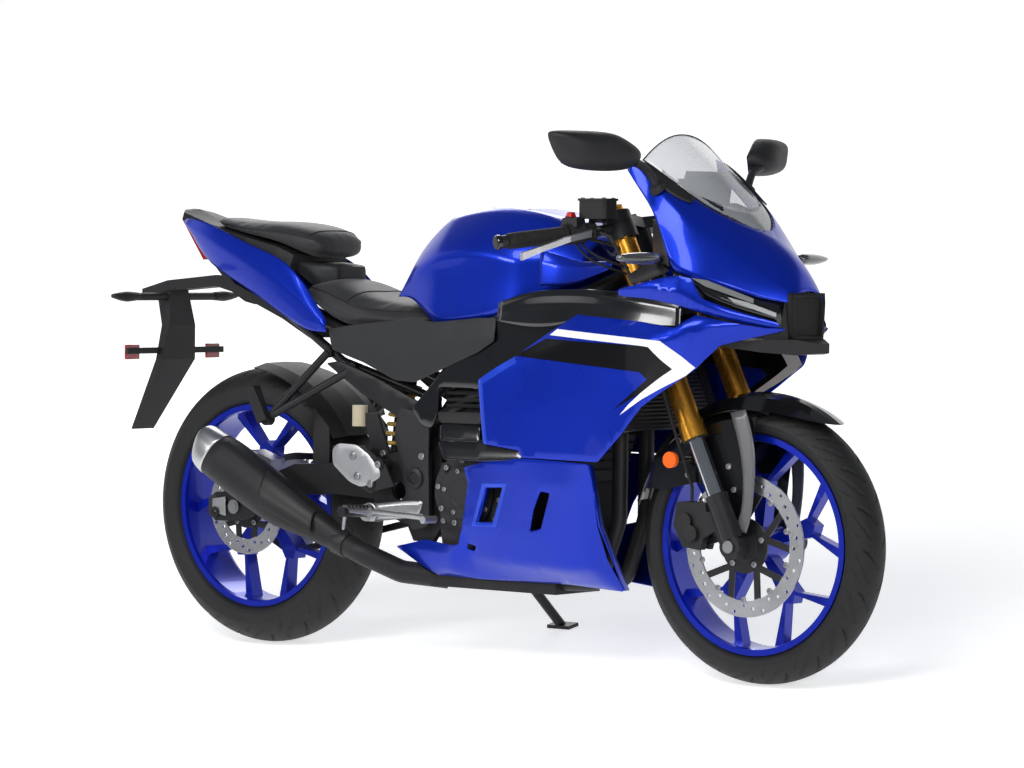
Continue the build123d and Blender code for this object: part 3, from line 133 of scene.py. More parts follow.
MAT = {
    "blue": material("blue_paint", (0.002, 0.024, 0.42), rough=0.28, metal=0.6, coat=0.35, coat_rough=0.025,
                     vary=0.05, bump=0.012, bump_scale=2500, rough_vary=0.1, Specular_IOR_Level=0.2),
    # a lighter copy of the blue paint: a painted highlight where the lamps light narrow faces
    "highlight_blue": material("blue_painted_highlight", (0.008, 0.055, 0.6), rough=0.3, metal=0.5, coat=0.35, coat_rough=0.03,
                      vary=0.05, bump=0.012, bump_scale=2500, rough_vary=0.1),
    "wheel": material("blue_wheel", (0.002, 0.016, 0.4), rough=0.3, metal=0.55, coat=0.35, coat_rough=0.05,
                      vary=0.08, bump=0.02, bump_scale=1800),
    "white": material("white_stripe", (0.86, 0.87, 0.88), rough=0.3, coat=1.0, vary=0.02, bump=0.01, bump_scale=2500),
    "band": material("black_band", (0.002, 0.002, 0.003), rough=0.3, coat=0.3, coat_rough=0.04, Specular_IOR_Level=0.1,
                     vary=0.1, bump=0.01),
    "gloss": material("gloss_black", (0.005, 0.005, 0.006), rough=0.16, coat=0.6, coat_rough=0.04, vary=0.2, bump=0.015,
                      bump_scale=900),
    "tyre": material("tyre_rubber", (0.013, 0.013, 0.0135), rough=0.62, vary=0.2, bump=0.25, bump_scale=900,
                     wear=0.25, wear_color=(0.07, 0.07, 0.07), Specular_IOR_Level=0.3),
    "frame": material("frame_black", (0.011, 0.011, 0.012), rough=0.38, vary=0.15, bump=0.08, bump_scale=900,
                      wear=0.15, wear_color=(0.08, 0.08, 0.08), Specular_IOR_Level=0.3),
    "cast": material("cast_black", (0.016, 0.016, 0.018), rough=0.5, vary=0.2, bump=0.25, bump_scale=1300,
                     wear=0.25, wear_color=(0.12, 0.12, 0.12), Specular_IOR_Level=0.3),
    "heat": material("heat_black", (0.012, 0.012, 0.013), rough=0.5, vary=0.25, bump=0.08, bump_scale=700,
                     wear=0.2, wear_color=(0.08, 0.07, 0.06), Specular_IOR_Level=0.3),
    "shield": material("shield_grey", (0.014, 0.014, 0.015), rough=0.42, vary=0.1, bump=0.08, bump_scale=900,
                       Specular_IOR_Level=0.3),
    "steel": material("brushed_steel", (0.55, 0.55, 0.56), rough=0.33, metal=1.0, vary=0.1, bump=0.05, bump_scale=1200),
    "alloy": material("satin_alloy", (0.42, 0.42, 0.43), rough=0.36, metal=0.9, vary=0.12, bump=0.12, bump_scale=1100,
                      wear=0.3, wear_color=(0.7, 0.7, 0.7)),
    "disc": material("disc_steel", (0.6, 0.6, 0.61), rough=0.28, metal=1.0, vary=0.08, bump=0.04, bump_scale=1600),
    "chrome": material("hard_chrome", (0.62, 0.63, 0.65), rough=0.12, metal=1.0, vary=0.05, bump=0.01, bump_scale=800),
    "gold": material("gold_anodised", (0.78, 0.36, 0.045), rough=0.27, metal=0.95, vary=0.08, bump=0.03,
                     bump_scale=900),
    "spring": material("spring_yellow", (0.52, 0.3, 0.03), rough=0.38, coat=0.3, vary=0.1, bump=0.04),
    "plastic": material("black_plastic", (0.013, 0.013, 0.014), rough=0.55, vary=0.15, bump=0.22, bump_scale=1500,
                        wear=0.12, wear_color=(0.06, 0.06, 0.06), Specular_IOR_Level=0.3),
    "grey": material("grey_plastic", (0.017, 0.0175, 0.019), rough=0.5, Specular_IOR_Level=0.3, vary=0.1, bump=0.22,
                     bump_scale=1500,
                     wear=0.12, wear_color=(0.09, 0.09, 0.09)),
    "leather": material("saddle_cover", (0.017, 0.017, 0.018), rough=0.52, vary=0.15, bump=0.45, bump_scale=1000,
                        Sheen_Weight=0.15, Specular_IOR_Level=0.3),
    "rubber": material("soft_rubber", (0.012, 0.012, 0.012), rough=0.6, vary=0.15, bump=0.2, bump_scale=900,
                       Specular_IOR_Level=0.3),
    "core": material("radiator_core", (0.05, 0.052, 0.055), rough=0.45, metal=0.7, vary=0.15, bump=0.1, bump_scale=700),
    # near-black: painted shade in the tyre grooves, behind the frame slats and in the intake; also on the wing louvres
    # and heel plate rings
    "dark": material("black_and_painted_shade", (0.005, 0.005, 0.005), rough=0.7, vary=0.2, bump=0.1, Specular_IOR_Level=0.3),
    "orange": material("orange_lens", (0.9, 0.13, 0.008), rough=0.2, coat=1.0, vary=0.08, bump=0.1, bump_scale=300),
    "red": material("red_lens", (0.32, 0.006, 0.008), rough=0.2, coat=1.0, vary=0.1, bump=0.1, bump_scale=300),
    "switch": material("red_switch", (0.5, 0.012, 0.012), rough=0.35, coat=0.4, vary=0.08, bump=0.05),
    "lens": material("smoked_lens", (0.05, 0.052, 0.055), rough=0.12, coat=1.0, vary=0.25, bump=0.15, bump_scale=250),
    "lamp": material("lamp_grey", (0.16, 0.165, 0.165), rough=0.25, metal=0.3, coat=1.0, vary=0.2, bump=0.3,
                     bump_scale=220),
    "bottle": material("reservoir_beige", (0.42, 0.37, 0.26), rough=0.35, vary=0.08, bump=0.03, Subsurface_Weight=0.15),
    # grey painted on for the light that gloss black fender stays reflect
    "satin": material("grey_painted_reflection", (0.11, 0.11, 0.115), rough=0.32, coat=0.3, vary=0.08, bump=0.04, bump_scale=900),
    "bolt": material("bolt_steel", (0.32, 0.32, 0.33), rough=0.35, metal=1.0, vary=0.12, bump=0.06, bump_scale=900),
    "mirror": material("mirror_glass", (0.8, 0.82, 0.84), rough=0.03, metal=1.0, vary=0.02, bump=0.003),
    "clear": material("clear_screen", (0.6, 0.62, 0.65), rough=0.05, coat=1.0, vary=0.02, bump=0.006, bump_scale=200,
                      IOR=1.45, Alpha=0.42),
}


# ---- building pieces ------------------------------------------------------------------------
SIDES = (("right", -1), ("left", 1))  # the rider's, and the sign of Y there
WELD = 0.00001                     # metres
SHEET_BEVEL = 1.2
SLAB_FACES = [(0, 1, 2, 3), (7, 6, 5, 4), (0, 4, 5, 1), (1, 5, 6, 2), (2, 6, 7, 3), (3, 7, 4, 0)]  # two rings of four
FIN_FACES = [(0, 1, 3, 2), (4, 6, 7, 5), (0, 4, 5, 1), (2, 3, 7, 6), (0, 2, 6, 4), (1, 5, 7, 3)]   # four pairs


def add_object(name, data):
    obj = bpy.data.objects.new(name, data)
    bpy.context.scene.collection.objects.link(obj)
    return obj


def add_mesh(name, verts, faces, mats):
    """A mesh object from upright-frame points, with its materials."""
    mesh = bpy.data.meshes.new(name)
    mesh.from_pydata([place(v) for v in verts], [], faces)
    for key in ([mats] if isinstance(mats, str) else mats):
        mesh.materials.append(MAT[key])
    return add_object(name, mesh)


def shade_smooth(mesh, sharp=None):
    mesh.polygons.foreach_set("use_smooth", [True] * len(mesh.polygons))
    if sharp:
        mesh.set_sharp_from_angle(angle=math.radians(sharp))


def declare(obj, body, replaces=(), slot=None):
    """Puts a piece on the body it rides on and hides the nodes it stands for; slot is not used."""
    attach(obj, body)
    if replaces:
        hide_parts(*replaces)
    return obj


def modify(obj, kind, **values):
    mod = obj.modifiers.new(kind.lower(), kind)
    for key, value in values.items():
        setattr(mod, key, value)


def soften(obj, width, angle, **values):
    """A two-step bevel, in mm, on edges sharper than the angle."""
    if width:
        modify(obj, "BEVEL", width=width / 1000, segments=2, limit_method="ANGLE", angle_limit=math.radians(angle),
               **values)


def piece(name, verts, faces, mats, body="chassis", replaces=(), slot=None, face_mats=None, sharp=32.0):
    """A mesh from upright-frame points, riding on a body."""
    obj = add_mesh(name, verts, faces, mats)
    mesh = obj.data
    mesh.validate()
    bm = bmesh.new()
    bm.from_mesh(mesh)
    bmesh.ops.remove_doubles(bm, verts=bm.verts, dist=WELD)
    if face_mats:
        for f, m in zip(bm.faces, face_mats):
            f.material_index = m
    bmesh.ops.recalc_face_normals(bm, faces=bm.faces)
    bm.to_mesh(mesh)
    bm.free()
    shade_smooth(mesh, sharp)
    return declare(obj, body, replaces, slot)


def grid_faces(rows, count, close, caps=False):
    """The quads between rows of count points each, and the faces that close the ends."""
    faces = []
    for r in range(rows - 1):
        for c in range(count if close else count - 1):
            d = (c + 1) % count
            faces.append((r * count + c, r * count + d, (r + 1) * count + d, (r + 1) * count + c))
    if caps:
        faces += [tuple(reversed(range(count))), tuple(range((rows - 1) * count, rows * count))]
    return faces


def prism_faces(n):
    """The faces of a form between two outlines of n points each."""
    sides = [(k, (k + 1) % n, n + (k + 1) % n, n + k) for k in range(n)]
    return [tuple(range(n)), tuple(reversed(range(n, 2 * n)))] + sides


def mirrored(verts, faces):
    """Points and faces together with their mirror images."""
    n = len(verts)
    both = list(verts) + [(x, -y, z) for x, y, z in verts]
    return both, list(faces) + [tuple(i + n for i in reversed(f)) for f in faces]


def cubic(xs, ys, x):
    """Smooth interpolation that doesn't overshoot."""
    if x <= xs[0]:
        return ys[0]
    if x >= xs[-1]:
        return ys[-1]
    i = max(k for k in range(len(xs) - 1) if xs[k] <= x)
    slopes = [(ys[k + 1] - ys[k]) / (xs[k + 1] - xs[k]) for k in range(len(xs) - 1)]

    def tangent(k):
        if k == 0:
            return slopes[0]
        if k == len(xs) - 1:
            return slopes[-1]
        a, b = slopes[k - 1], slopes[k]
        return 0.0 if a * b <= 0 else 2 * a * b / (a + b)
    h = xs[i + 1] - xs[i]
    t = (x - xs[i]) / h
    return ((2 * t ** 3 - 3 * t ** 2 + 1) * ys[i] + (t ** 3 - 2 * t ** 2 + t) * h * tangent(i)
            + (-2 * t ** 3 + 3 * t ** 2) * ys[i + 1] + (t ** 3 - t ** 2) * h * tangent(i + 1))


def side_surface(table):
    """Half width at (x, z), smooth along x and straight between the lines of the table."""
    xs = [row[0] for row in table]
    columns = len(table[0]) - 1

    def height(x, z):
        line = [(cubic(xs, [row[c + 1][0] for row in table], x), cubic(xs, [row[c + 1][1] for row in table], x))
                for c in range(columns)]
        if z >= line[0][1]:
            a, b = line[0], line[1]
        elif z <= line[-1][1]:
            a, b = line[-2], line[-1]
        else:
            a, b = next((p, q) for p, q in zip(line, line[1:]) if q[1] <= z <= p[1])
        t = (z - b[1]) / max(1e-6, a[1] - b[1])
        t = min(1.3, max(-0.3, t))
        return b[0] + (a[0] - b[0]) * t
    return height


def inside(polygon, x, z):
    hit = False
    for (x0, z0), (x1, z1) in zip(polygon, polygon[1:] + polygon[:1]):
        if (z0 > z) != (z1 > z) and x < (x1 - x0) * (z - z0) / (z1 - z0) + x0:
            hit = not hit
    return hit


ARC_STEPS = 3


def rounded(points, radius=6.0):
    """A closed outline with its corners cut to short arcs. A point may carry its own radius."""
    out = []
    n = len(points)
    for i, p in enumerate(points):
        r = p[2] if len(p) > 2 else radius
        a, b, c = Vector(points[i - 1][:2]), Vector(p[:2]), Vector(points[(i + 1) % n][:2])
        cut = min(r, (a - b).length * 0.4, (c - b).length * 0.4)
        if cut < 0.5:
            out.append(tuple(b))
            continue
        start, end = b + (a - b).normalized() * cut, b + (c - b).normalized() * cut
        for k in range(ARC_STEPS + 1):
            t = k / ARC_STEPS
            q = start * (1 - t) ** 2 + b * 2 * t * (1 - t) + end * t ** 2
            out.append((q.x, q.y))
    return out


def densify(line, step, closed):
    """The line with points added at about the step; a closed one isn't given its first point again."""
    out = []
    for a, b in zip(line, line[1:] + (line[:1] if closed else [])):
        a, b = Vector(a), Vector(b)
        count = max(1, round((b - a).length / step))
        out += [tuple(a.lerp(b, k / count)) for k in range(count)]
    return out if closed else out + [line[-1]]


def side_panel(name, outline, height, mats="blue", creases=(), holes=(), regions=(), step=11.0, thick=3.0, both=True,
               radius=6.0, **options):
    """A panel seen from the side: an outline in (x, z), bulged to height(x, z) and given its thickness inward.

    regions are (outline, material index) painted on it; holes are cut out.
    """
    points, edges = [], []

    def add(line, closed):
        start = len(points)
        points.extend(Vector(p) for p in line)
        count = len(line)
        edges.extend((start + k, start + (k + 1) % count) for k in range(count if closed else count - 1))
    border = densify(rounded(outline, radius), step, True)
    add(border, True)
    cuts = [densify(rounded(h, 5.0), step * 0.7, True) for h in holes]
    for cut in cuts:
        add(cut, True)
    painted = [(densify([p[:2] for p in line], step * 0.8, True), index) for line, index in regions]
    for line, _ in painted:
        add(line, True)
    for line in creases:
        add(densify(list(line), step, False), False)
    fixed = list(points)
    xs, zs = [p[0] for p in border], [p[1] for p in border]
    row, z = 0, min(zs) + step / 2
    while z < max(zs):
        x = min(xs) + (step / 2 if row % 2 else 0)
        while x < max(xs):
            if inside(border, x, z) and not any(inside(cut, x, z) for cut in cuts):
                if all((p[0] - x) ** 2 + (p[1] - z) ** 2 > (step * 0.55) ** 2 for p in fixed):
                    points.append(Vector((x, z)))
            x += step
        z += step * 0.866
        row += 1
    flat, _, tris, *_ = delaunay_2d_cdt(points, edges, [], 0, 0.01)
    verts = [(p[0], height(p[0], p[1]), p[1]) for p in flat]
    faces, kinds = [], []
    for tri in tris:
        cx = sum(flat[i][0] for i in tri) / len(tri)
        cz = sum(flat[i][1] for i in tri) / len(tri)
        if not inside(border, cx, cz) or any(inside(cut, cx, cz) for cut in cuts):
            continue
        faces.append(tuple(tri))
        kinds.append(next((index for line, index in reversed(painted) if inside(line, cx, cz)), 0))
    return sheet_piece(name, verts, faces, kinds, mats, thick, both, **options)


def sheet_piece(name, verts, faces, kinds, mats, thick, both, flip=False, replaces=(), slot=None):
    """Thickens an open sheet whose faces look outward to the left, and mirrors it, or flips it to the right."""
    if both:
        verts, faces = mirrored(verts, faces)
        kinds = list(kinds) * 2
    elif flip:
        verts = [(x, -y, z) for x, y, z in verts]
    obj = add_mesh(name, verts, faces, mats)
    mesh = obj.data
    mesh.polygons.foreach_set("material_index", kinds)
    bm = bmesh.new()
    bm.from_mesh(mesh)
    bm.normal_update()
    middle = place((0, 0, 0))
    for f in bm.faces:
        out = f.calc_center_median() - middle
        if (out.y * COS_LEAN - out.z * SIN_LEAN) * (f.normal.y * COS_LEAN - f.normal.z * SIN_LEAN) < 0:
            f.normal_flip()
    bm.to_mesh(mesh)
    bm.free()
    shade_smooth(mesh, 32)
    modify(obj, "SOLIDIFY", thickness=thick / 1000, offset=-1.0, use_even_offset=True)
    soften(obj, SHEET_BEVEL, 55)
    return declare(obj, "chassis", replaces, slot)


def loft(name, rows, mats, body="chassis", levels=2, thick=3.0, creases=None, row_creases=None, mirror=True,
         close=False,
         caps=False, boundary_sharp=False, replaces=(), slot=None):
    """A smooth subdivided sheet or closed form through rows of points; a mirrored one shares its middle line."""
    count = len(rows[0])
    verts = [tuple(p) for row in rows for p in row]
    faces = grid_faces(len(rows), count, close, caps)
    marks = {}
    for c, value in (creases or {}).items():
        for r in range(len(rows) - 1):
            marks[frozenset((r * count + c % count, (r + 1) * count + c % count))] = value
    for r, value in (row_creases or {}).items():
        start = r % len(rows) * count
        for c in range(count if close else count - 1):
            marks[frozenset((start + c, start + (c + 1) % count))] = value
    if mirror:
        n = len(verts)
        twin = {i: (i if abs(verts[i][1]) < 0.5 else i + n) for i in range(n)}
        verts = verts + [(x, -y, z) for x, y, z in verts]
        faces = faces + [tuple(twin[i] for i in reversed(f)) for f in faces]
        marks.update({frozenset(twin[i] for i in pair): value for pair, value in list(marks.items())})
    obj = add_mesh(name, verts, faces, mats)
    mesh = obj.data
    bm = bmesh.new()
    bm.from_mesh(mesh)
    layer = bm.edges.layers.float.new("crease_edge")
    for e in bm.edges:
        edge_ends = boundary_sharp and len(e.link_faces) == 1
        e[layer] = 1.0 if edge_ends else marks.get(frozenset(v.index for v in e.verts), 0.0)
    bmesh.ops.delete(bm, geom=[v for v in bm.verts if not v.link_faces], context="VERTS")
    bmesh.ops.recalc_face_normals(bm, faces=bm.faces)
    centre = sum((f.calc_center_median() for f in bm.faces), Vector()) / len(bm.faces)
    if sum((f.calc_center_median() - centre).dot(f.normal) for f in bm.faces) < 0:
        bmesh.ops.reverse_faces(bm, faces=bm.faces)
    bm.to_mesh(mesh)
    bm.free()
    shade_smooth(mesh)
    if levels:
        modify(obj, "SUBSURF", levels=levels, render_levels=levels)
    if thick:
        modify(obj, "SOLIDIFY", thickness=thick / 1000, offset=-1.0, use_even_offset=False)
    return declare(obj, body, replaces, slot)


def tube(name, data_name, points, r, mat, sides, kind="POLY"):
    """A round line through points of the row frame."""
    curve = bpy.data.curves.new(data_name, "CURVE")
    curve.dimensions = "3D"
    curve.bevel_depth = r / 1000
    curve.bevel_resolution = sides
    spline = curve.splines.new(kind)
    spline.points.add(len(points) - 1)
    for point, p in zip(spline.points, points):
        point.co = (*p, 1)
    curve.materials.append(MAT[mat])
    return add_object(name, curve)


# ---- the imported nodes: their finishes, and softened edges ------------------------------------
FINISH = {  # node: material, bevel in mm
    "main_frame": ("frame", 2.0), "subframe": ("frame", 1.0), "swingarm": ("frame", 2.5), "rear_axle": ("bolt", 0.6),
    "engine": ("cast", 2.5), "exhaust_pipes": ("heat", 0.0), "muffler": ("heat", 2.0), "muffler_end": ("steel", 1.5),
    "radiator": ("frame", 1.0), "shock_absorber": ("frame", 0.8), "shock_spring": ("spring", 0.0),
    "drive_chain": ("heat", 0.0), "rear_hugger": ("plastic", 1.5), "rear_caliper": ("alloy", 1.2),
    "fuel_tank": ("blue", 6.0), "filler_ring": ("alloy", 1.0), "fuel_cap": ("gloss", 1.2),
    "rider_saddle": ("leather", 6.0), "passenger_saddle": ("leather", 6.0), "tail_panels": ("blue", 1.2),
    "tail_trays": ("plastic", 3.0), "plate_hanger": ("plastic", 2.0), "rear_lamps": ("red", 1.5),
    "side_covers": ("grey", 1.0), "side_fairings": ("blue", 1.2), "lower_cowls": ("blue", 1.2),
    "nose_panels": ("blue", 1.2), "front_core": ("plastic", 2.5), "lamp_strips": ("lamp", 1.0),
    "windscreen": ("clear", 1.0), "cockpit": ("plastic", 2.0), "mirrors": ("plastic", 3.0),
    "front_indicators": ("lens", 2.0), "gloss_strakes": ("gloss", 1.0), "tank_wings": ("blue", 1.0),
    "rearsets": ("frame", 1.2), "foot_levers": ("alloy", 1.0), "passenger_footrests": ("frame", 1.0),
    "rear_reservoir": ("bottle", 1.5), "triple_clamps": ("frame", 2.0), "fork_outer_tubes": ("gold", 1.0),
    "fork_inner_tubes": ("chrome", 0.0), "fork_lugs": ("frame", 1.5), "front_axle": ("bolt", 0.6),
    "front_fender": ("gloss", 1.2), "front_caliper": ("heat", 1.5), "fork_reflectors": ("orange", 1.0),
    "clip_on_bars": ("frame", 1.0), "grips": ("rubber", 1.5), "hand_controls": ("plastic", 2.0),
    "hand_levers": ("alloy", 1.0), "brake_hose": ("rubber", 0.0), "front_rim": ("wheel", 1.0),
    "front_tyre": ("tyre", 0.0), "front_disc": ("disc", 0.0), "rear_rim": ("wheel", 1.0), "rear_tyre": ("tyre", 0.0),
    "rear_disc": ("disc", 0.0), "rear_sprocket": ("bolt", 0.0), "side_stand_leg": ("frame", 1.0),
}
for name, (key, bevel) in FINISH.items():
    node = NODES[name]
    node.data.materials.clear()
    node.data.materials.append(MAT[key])
    soften(node, bevel, 34)


# ---- painted bodywork -------------------------------------------------------------------------
SIDE_TABLE = [  # x, top (y, z), crease (y, z), middle (y, z), low (y, z)
    (757, (184, 655), (187, 640), (187, 560), (184, 486)), (809, (187, 668), (192, 650), (192, 560), (187, 478)),
    (881, (189, 700), (197, 662), (197, 560), (190, 461)), (1045, (194, 766), (212, 712), (206, 600), (194, 458)),
    (1077, (198, 764), (215, 714), (208, 602), (195, 457)), (1191, (208, 756), (224, 716), (214, 630), (206, 549)),
    (1259, (214, 750), (230, 720), (220, 662), (206, 606)), (1300, (212, 756), (226, 728), (214, 690), (200, 636)),
    (1341, (200, 770), (214, 748), (206, 708), (194, 664)), (1379, (178, 772), (190, 752), (184, 738), (168, 715)),
    (1440, (126, 768), (134, 752), (130, 744), (118, 727)), (1485, (74, 760), (80, 750), (78, 746), (70, 738))]
side_height = side_surface(SIDE_TABLE)
SIDE_OUTLINE = [(1033, 768), (954, 727), (863, 675), (812, 651), (759, 623), (766, 565), (773, 486), (876, 476),
                (880, 461),
                (1089, 459), (1154, 516), (1211, 578), (1342, 661), (1379, 709), (1474, 738), (1485, 744), (1457, 745),
                (1393, 760), (1344, 772), (1302, 744), (1272, 748), (1208, 756), (1045, 766)]
STRIPE = [(980, 736), (1274, 717), (1316, 685), (1340, 663), (1320, 647), (1211, 593), (1156, 560), (1180, 583),
          (1212, 607), (1292, 659), (1243, 704), (1223, 706), (960, 723)]
BAND = [(950, 715), (1223, 706), (1243, 704), (1292, 659), (1212, 607), (1140, 571), (1093, 538), (1232, 637),
        (1213, 651), (863, 677)]
# the strip along the panel's rear edge takes the lighter blue: a painted highlight
EDGE_STRIP = [(759, 623), (773, 486), (785, 486), (773, 615), (870, 662), (863, 676)]
side_panel("side_panels", SIDE_OUTLINE, side_height, ("blue", "white", "band", "highlight_blue"),
           regions=[(BAND, 2), (STRIPE, 1),
           (EDGE_STRIP, 3)], creases=[[(1049, 712), (1191, 716), (1259, 720), (1302, 741)], [(1302, 743), (1382, 724)]],
           replaces=["side_fairings"], slot="blue_paint", step=12)

SILL_WIDTHS = [(1140, 202), (1207, 208), (1292, 211), (1329, 203), (1351, 193), (1401, 158), (1451, 108), (1474, 84)]
SILL_RIDGE = [(1140, 821), (1207, 826), (1300, 818), (1360, 790), (1401, 774), (1474, 751)]


def sill_height(x, z):
    """Half width of the sill under the lamps: widest at its ridge, steeper below than above."""
    base = cubic([p[0] for p in SILL_WIDTHS], [p[1] for p in SILL_WIDTHS], x)
    ridge = cubic([p[0] for p in SILL_RIDGE], [p[1] for p in SILL_RIDGE], x)
    return base - abs(z - ridge) * (0.2 if z > ridge else 0.42)


SILL_OUTLINE = [(1142, 808), (1144, 820), (1207, 836), (1270, 849), (1292, 852), (1329, 847), (1351, 806), (1401, 784),
                (1469, 758), (1476, 748), (1458, 745), (1393, 762), (1340, 778), (1286, 793), (1207, 802)]
side_panel("lamp_sills", SILL_OUTLINE, sill_height, "blue",
           creases=[[(1215, 828), (1300, 818), (1360, 790), (1401, 774), (1462, 752)]], slot="blue_paint", step=9)

COWL_TABLE = [  # x, top (y, z), upper (y, z), ledge (y, z), low (y, z), keel (y, z)
    (476, (122, 262), (123, 258), (123, 255), (122, 251), (120, 246)),
    (566, (128, 269), (129, 258), (129, 240), (124, 218), (114, 200)),
    (640, (138, 262), (140, 250), (138, 230), (124, 205), (96, 184)), (672, (150, 300), (150, 288), (148, 262),
     (128, 222), (96, 186)),
    (700, (164, 431), (162, 380), (156, 300), (134, 240), (96, 184)), (790, (180, 452), (174, 396), (164, 300),
     (140, 232), (90, 182)),
    (881, (189, 460), (182, 400), (168, 298), (144, 228), (84, 182)), (960, (192, 457), (186, 400), (172, 310),
     (146, 226), (78, 182)),
    (1030, (194, 456), (188, 410), (170, 318), (140, 232), (68, 178)),
    (1066, (195, 455), (184, 421), (156, 322), (120, 250), (60, 176))]
cowl_height = side_surface(COWL_TABLE)
COWL_OUTLINE = [(477, 248), (566, 268), (640, 261), (676, 262), (692, 302), (716, 400), (702, 432), (790, 451),
                (884, 459),
                (1064, 454), (1066, 422), (1062, 322), (1064, 178), (935, 188), (697, 187), (591, 190), (554, 207)]
VENT = [(769, 392), (821, 395), (786, 316), (735, 314)]
VENT_RIM = [(760, 400), (833, 403), (794, 308), (722, 306)]
SLIT = [(928, 391), (955, 388), (922, 310), (890, 303), (905, 350)]
DRAIN = [(700, 268), (724, 262), (716, 250), (694, 254)]
COWL_CREASES = [[(695, 300), (898, 287)], [(783, 228), (1050, 200)]]
# the rim round the large vent takes the lighter blue: a painted highlight
cowl = dict(regions=[(VENT_RIM, 1)], both=False, slot="blue_paint", step=11)
side_panel("belly_cowl_right", COWL_OUTLINE, cowl_height, ("blue", "highlight_blue"), holes=[VENT, SLIT, DRAIN],
           creases=COWL_CREASES + [[(640, 250), (700, 300)]], replaces=["lower_cowls"], flip=True, **cowl)
# the left one ends in front of the side stand
side_panel("belly_cowl_left", [(x, z) if x > 630 else (632 + (x - 630) * 0.01, z) for x, z in COWL_OUTLINE[2:-2]],
           cowl_height, ("blue", "highlight_blue"), holes=[VENT, SLIT], creases=COWL_CREASES, **cowl)
# a lip turns inward round the large vent and along the cowl's front edge
LIPS = (("vent_lip", VENT + VENT[:1], 0, 16), ("front_lip", [(1064, 452), (1063, 322), (1063, 180)], 3, 22))
for side_name, sign in SIDES:
    for tag, line, back, depth in LIPS:
        rows = [[(x, sign * (cowl_height(x, z) - 1.5), z), (x - back, sign * (cowl_height(x, z) - depth), z)]
                for x, z in line]
        loft(f"{tag}_{side_name}", rows, "blue", levels=0, thick=2.0, mirror=False, slot="blue_paint")

NOSE = [  # x, top (y, z), upper (y, z), crease (y, z), side (y, z), low (y, z)
    ((1137, 152, 1100), (1137, 155, 1096), (1136, 158, 1090), (1136, 160, 1080), (1136, 162, 1070)),
    ((1180, 143, 1078), (1180, 151, 1071), (1180, 158, 1062), (1178, 166, 1045), (1176, 172, 1028)),
    ((1230, 133, 1044), (1230, 149, 1032), (1232, 162, 1016), (1230, 173, 998), (1226, 180, 978)),
    ((1262, 125, 1022), (1266, 147, 1008), (1270, 166, 984), (1268, 181, 936), (1270, 192, 864)),
    ((1306, 109, 992), (1306, 132, 974), (1308, 152, 946), (1304, 172, 904), (1300, 190, 854)),
    ((1348, 73, 965), (1350, 104, 948), (1352, 129, 918), (1352, 149, 884), (1350, 166, 838)),
    ((1392, 0, 937), (1396, 54, 920), (1399, 101, 879), (1399, 115, 852), (1396, 125, 821)),
    ((1436, 0, 908), (1436, 46, 890), (1436, 82, 852), (1436, 92, 830), (1434, 98, 806)),
    ((1472, 0, 864), (1472, 38, 850), (1472, 58, 826), (1472, 62, 814), (1471, 66, 800)),
    ((1487, 0, 824), (1487, 28, 819), (1486, 46, 812), (1485, 51, 806), (1484, 55, 796))]
loft("nose_cowl", NOSE, "blue", levels=2, creases={2: 0.75}, boundary_sharp=True, thick=3.0, replaces=["nose_panels"],
     slot="blue_paint")

TANK = [  # x, then centre, shoulder, upper side, knee crease, recess, low
    ((454, 0, 806), (454, 58, 805), (456, 88, 801), (458, 94, 800), (458, 96, 798), (458, 97, 797)),
    ((478, 0, 882), (480, 60, 874), (486, 92, 850), (488, 101, 836), (488, 104, 818), (488, 104, 797)),
    ((509, 0, 924), (510, 70, 912), (516, 112, 872), (520, 122, 850), (520, 116, 820), (520, 117, 792)),
    ((580, 0, 968), (580, 70, 970), (584, 124, 914), (590, 141, 882), (586, 133, 842), (578, 135, 752)),
    ((610, 0, 975), (612, 72, 980), (616, 128, 926), (620, 146, 888), (622, 136, 840), (606, 138, 727)),
    ((690, 0, 984), (690, 74, 996), (694, 138, 936), (698, 157, 899), (700, 148, 846), (690, 149, 738)),
    ((760, 0, 985), (760, 78, 996), (764, 140, 936), (770, 159, 892), (772, 152, 842), (760, 154, 750)),
    ((831, 0, 980), (831, 82, 986), (834, 138, 928), (838, 159, 878), (838, 157, 836), (831, 157, 784)),
    ((885, 0, 970), (885, 80, 970), (885, 121, 918), (885, 135, 884), (885, 135, 846), (885, 135.5, 812)),
    ((930, 0, 957), (930, 84, 942), (930, 110, 906), (930, 121, 883), (930, 125, 850), (930, 127, 823)),
    ((984, 0, 929), (984, 66, 916), (984, 96, 891), (984, 107, 876), (984, 112, 856), (984, 115, 836))]
loft("tank_shell", TANK, "blue", levels=2, creases={3: 0.55, 1: 0.45}, row_creases={4: 0.3}, boundary_sharp=True,
     thick=3.0,
     replaces=["fuel_tank"], slot="blue_paint")

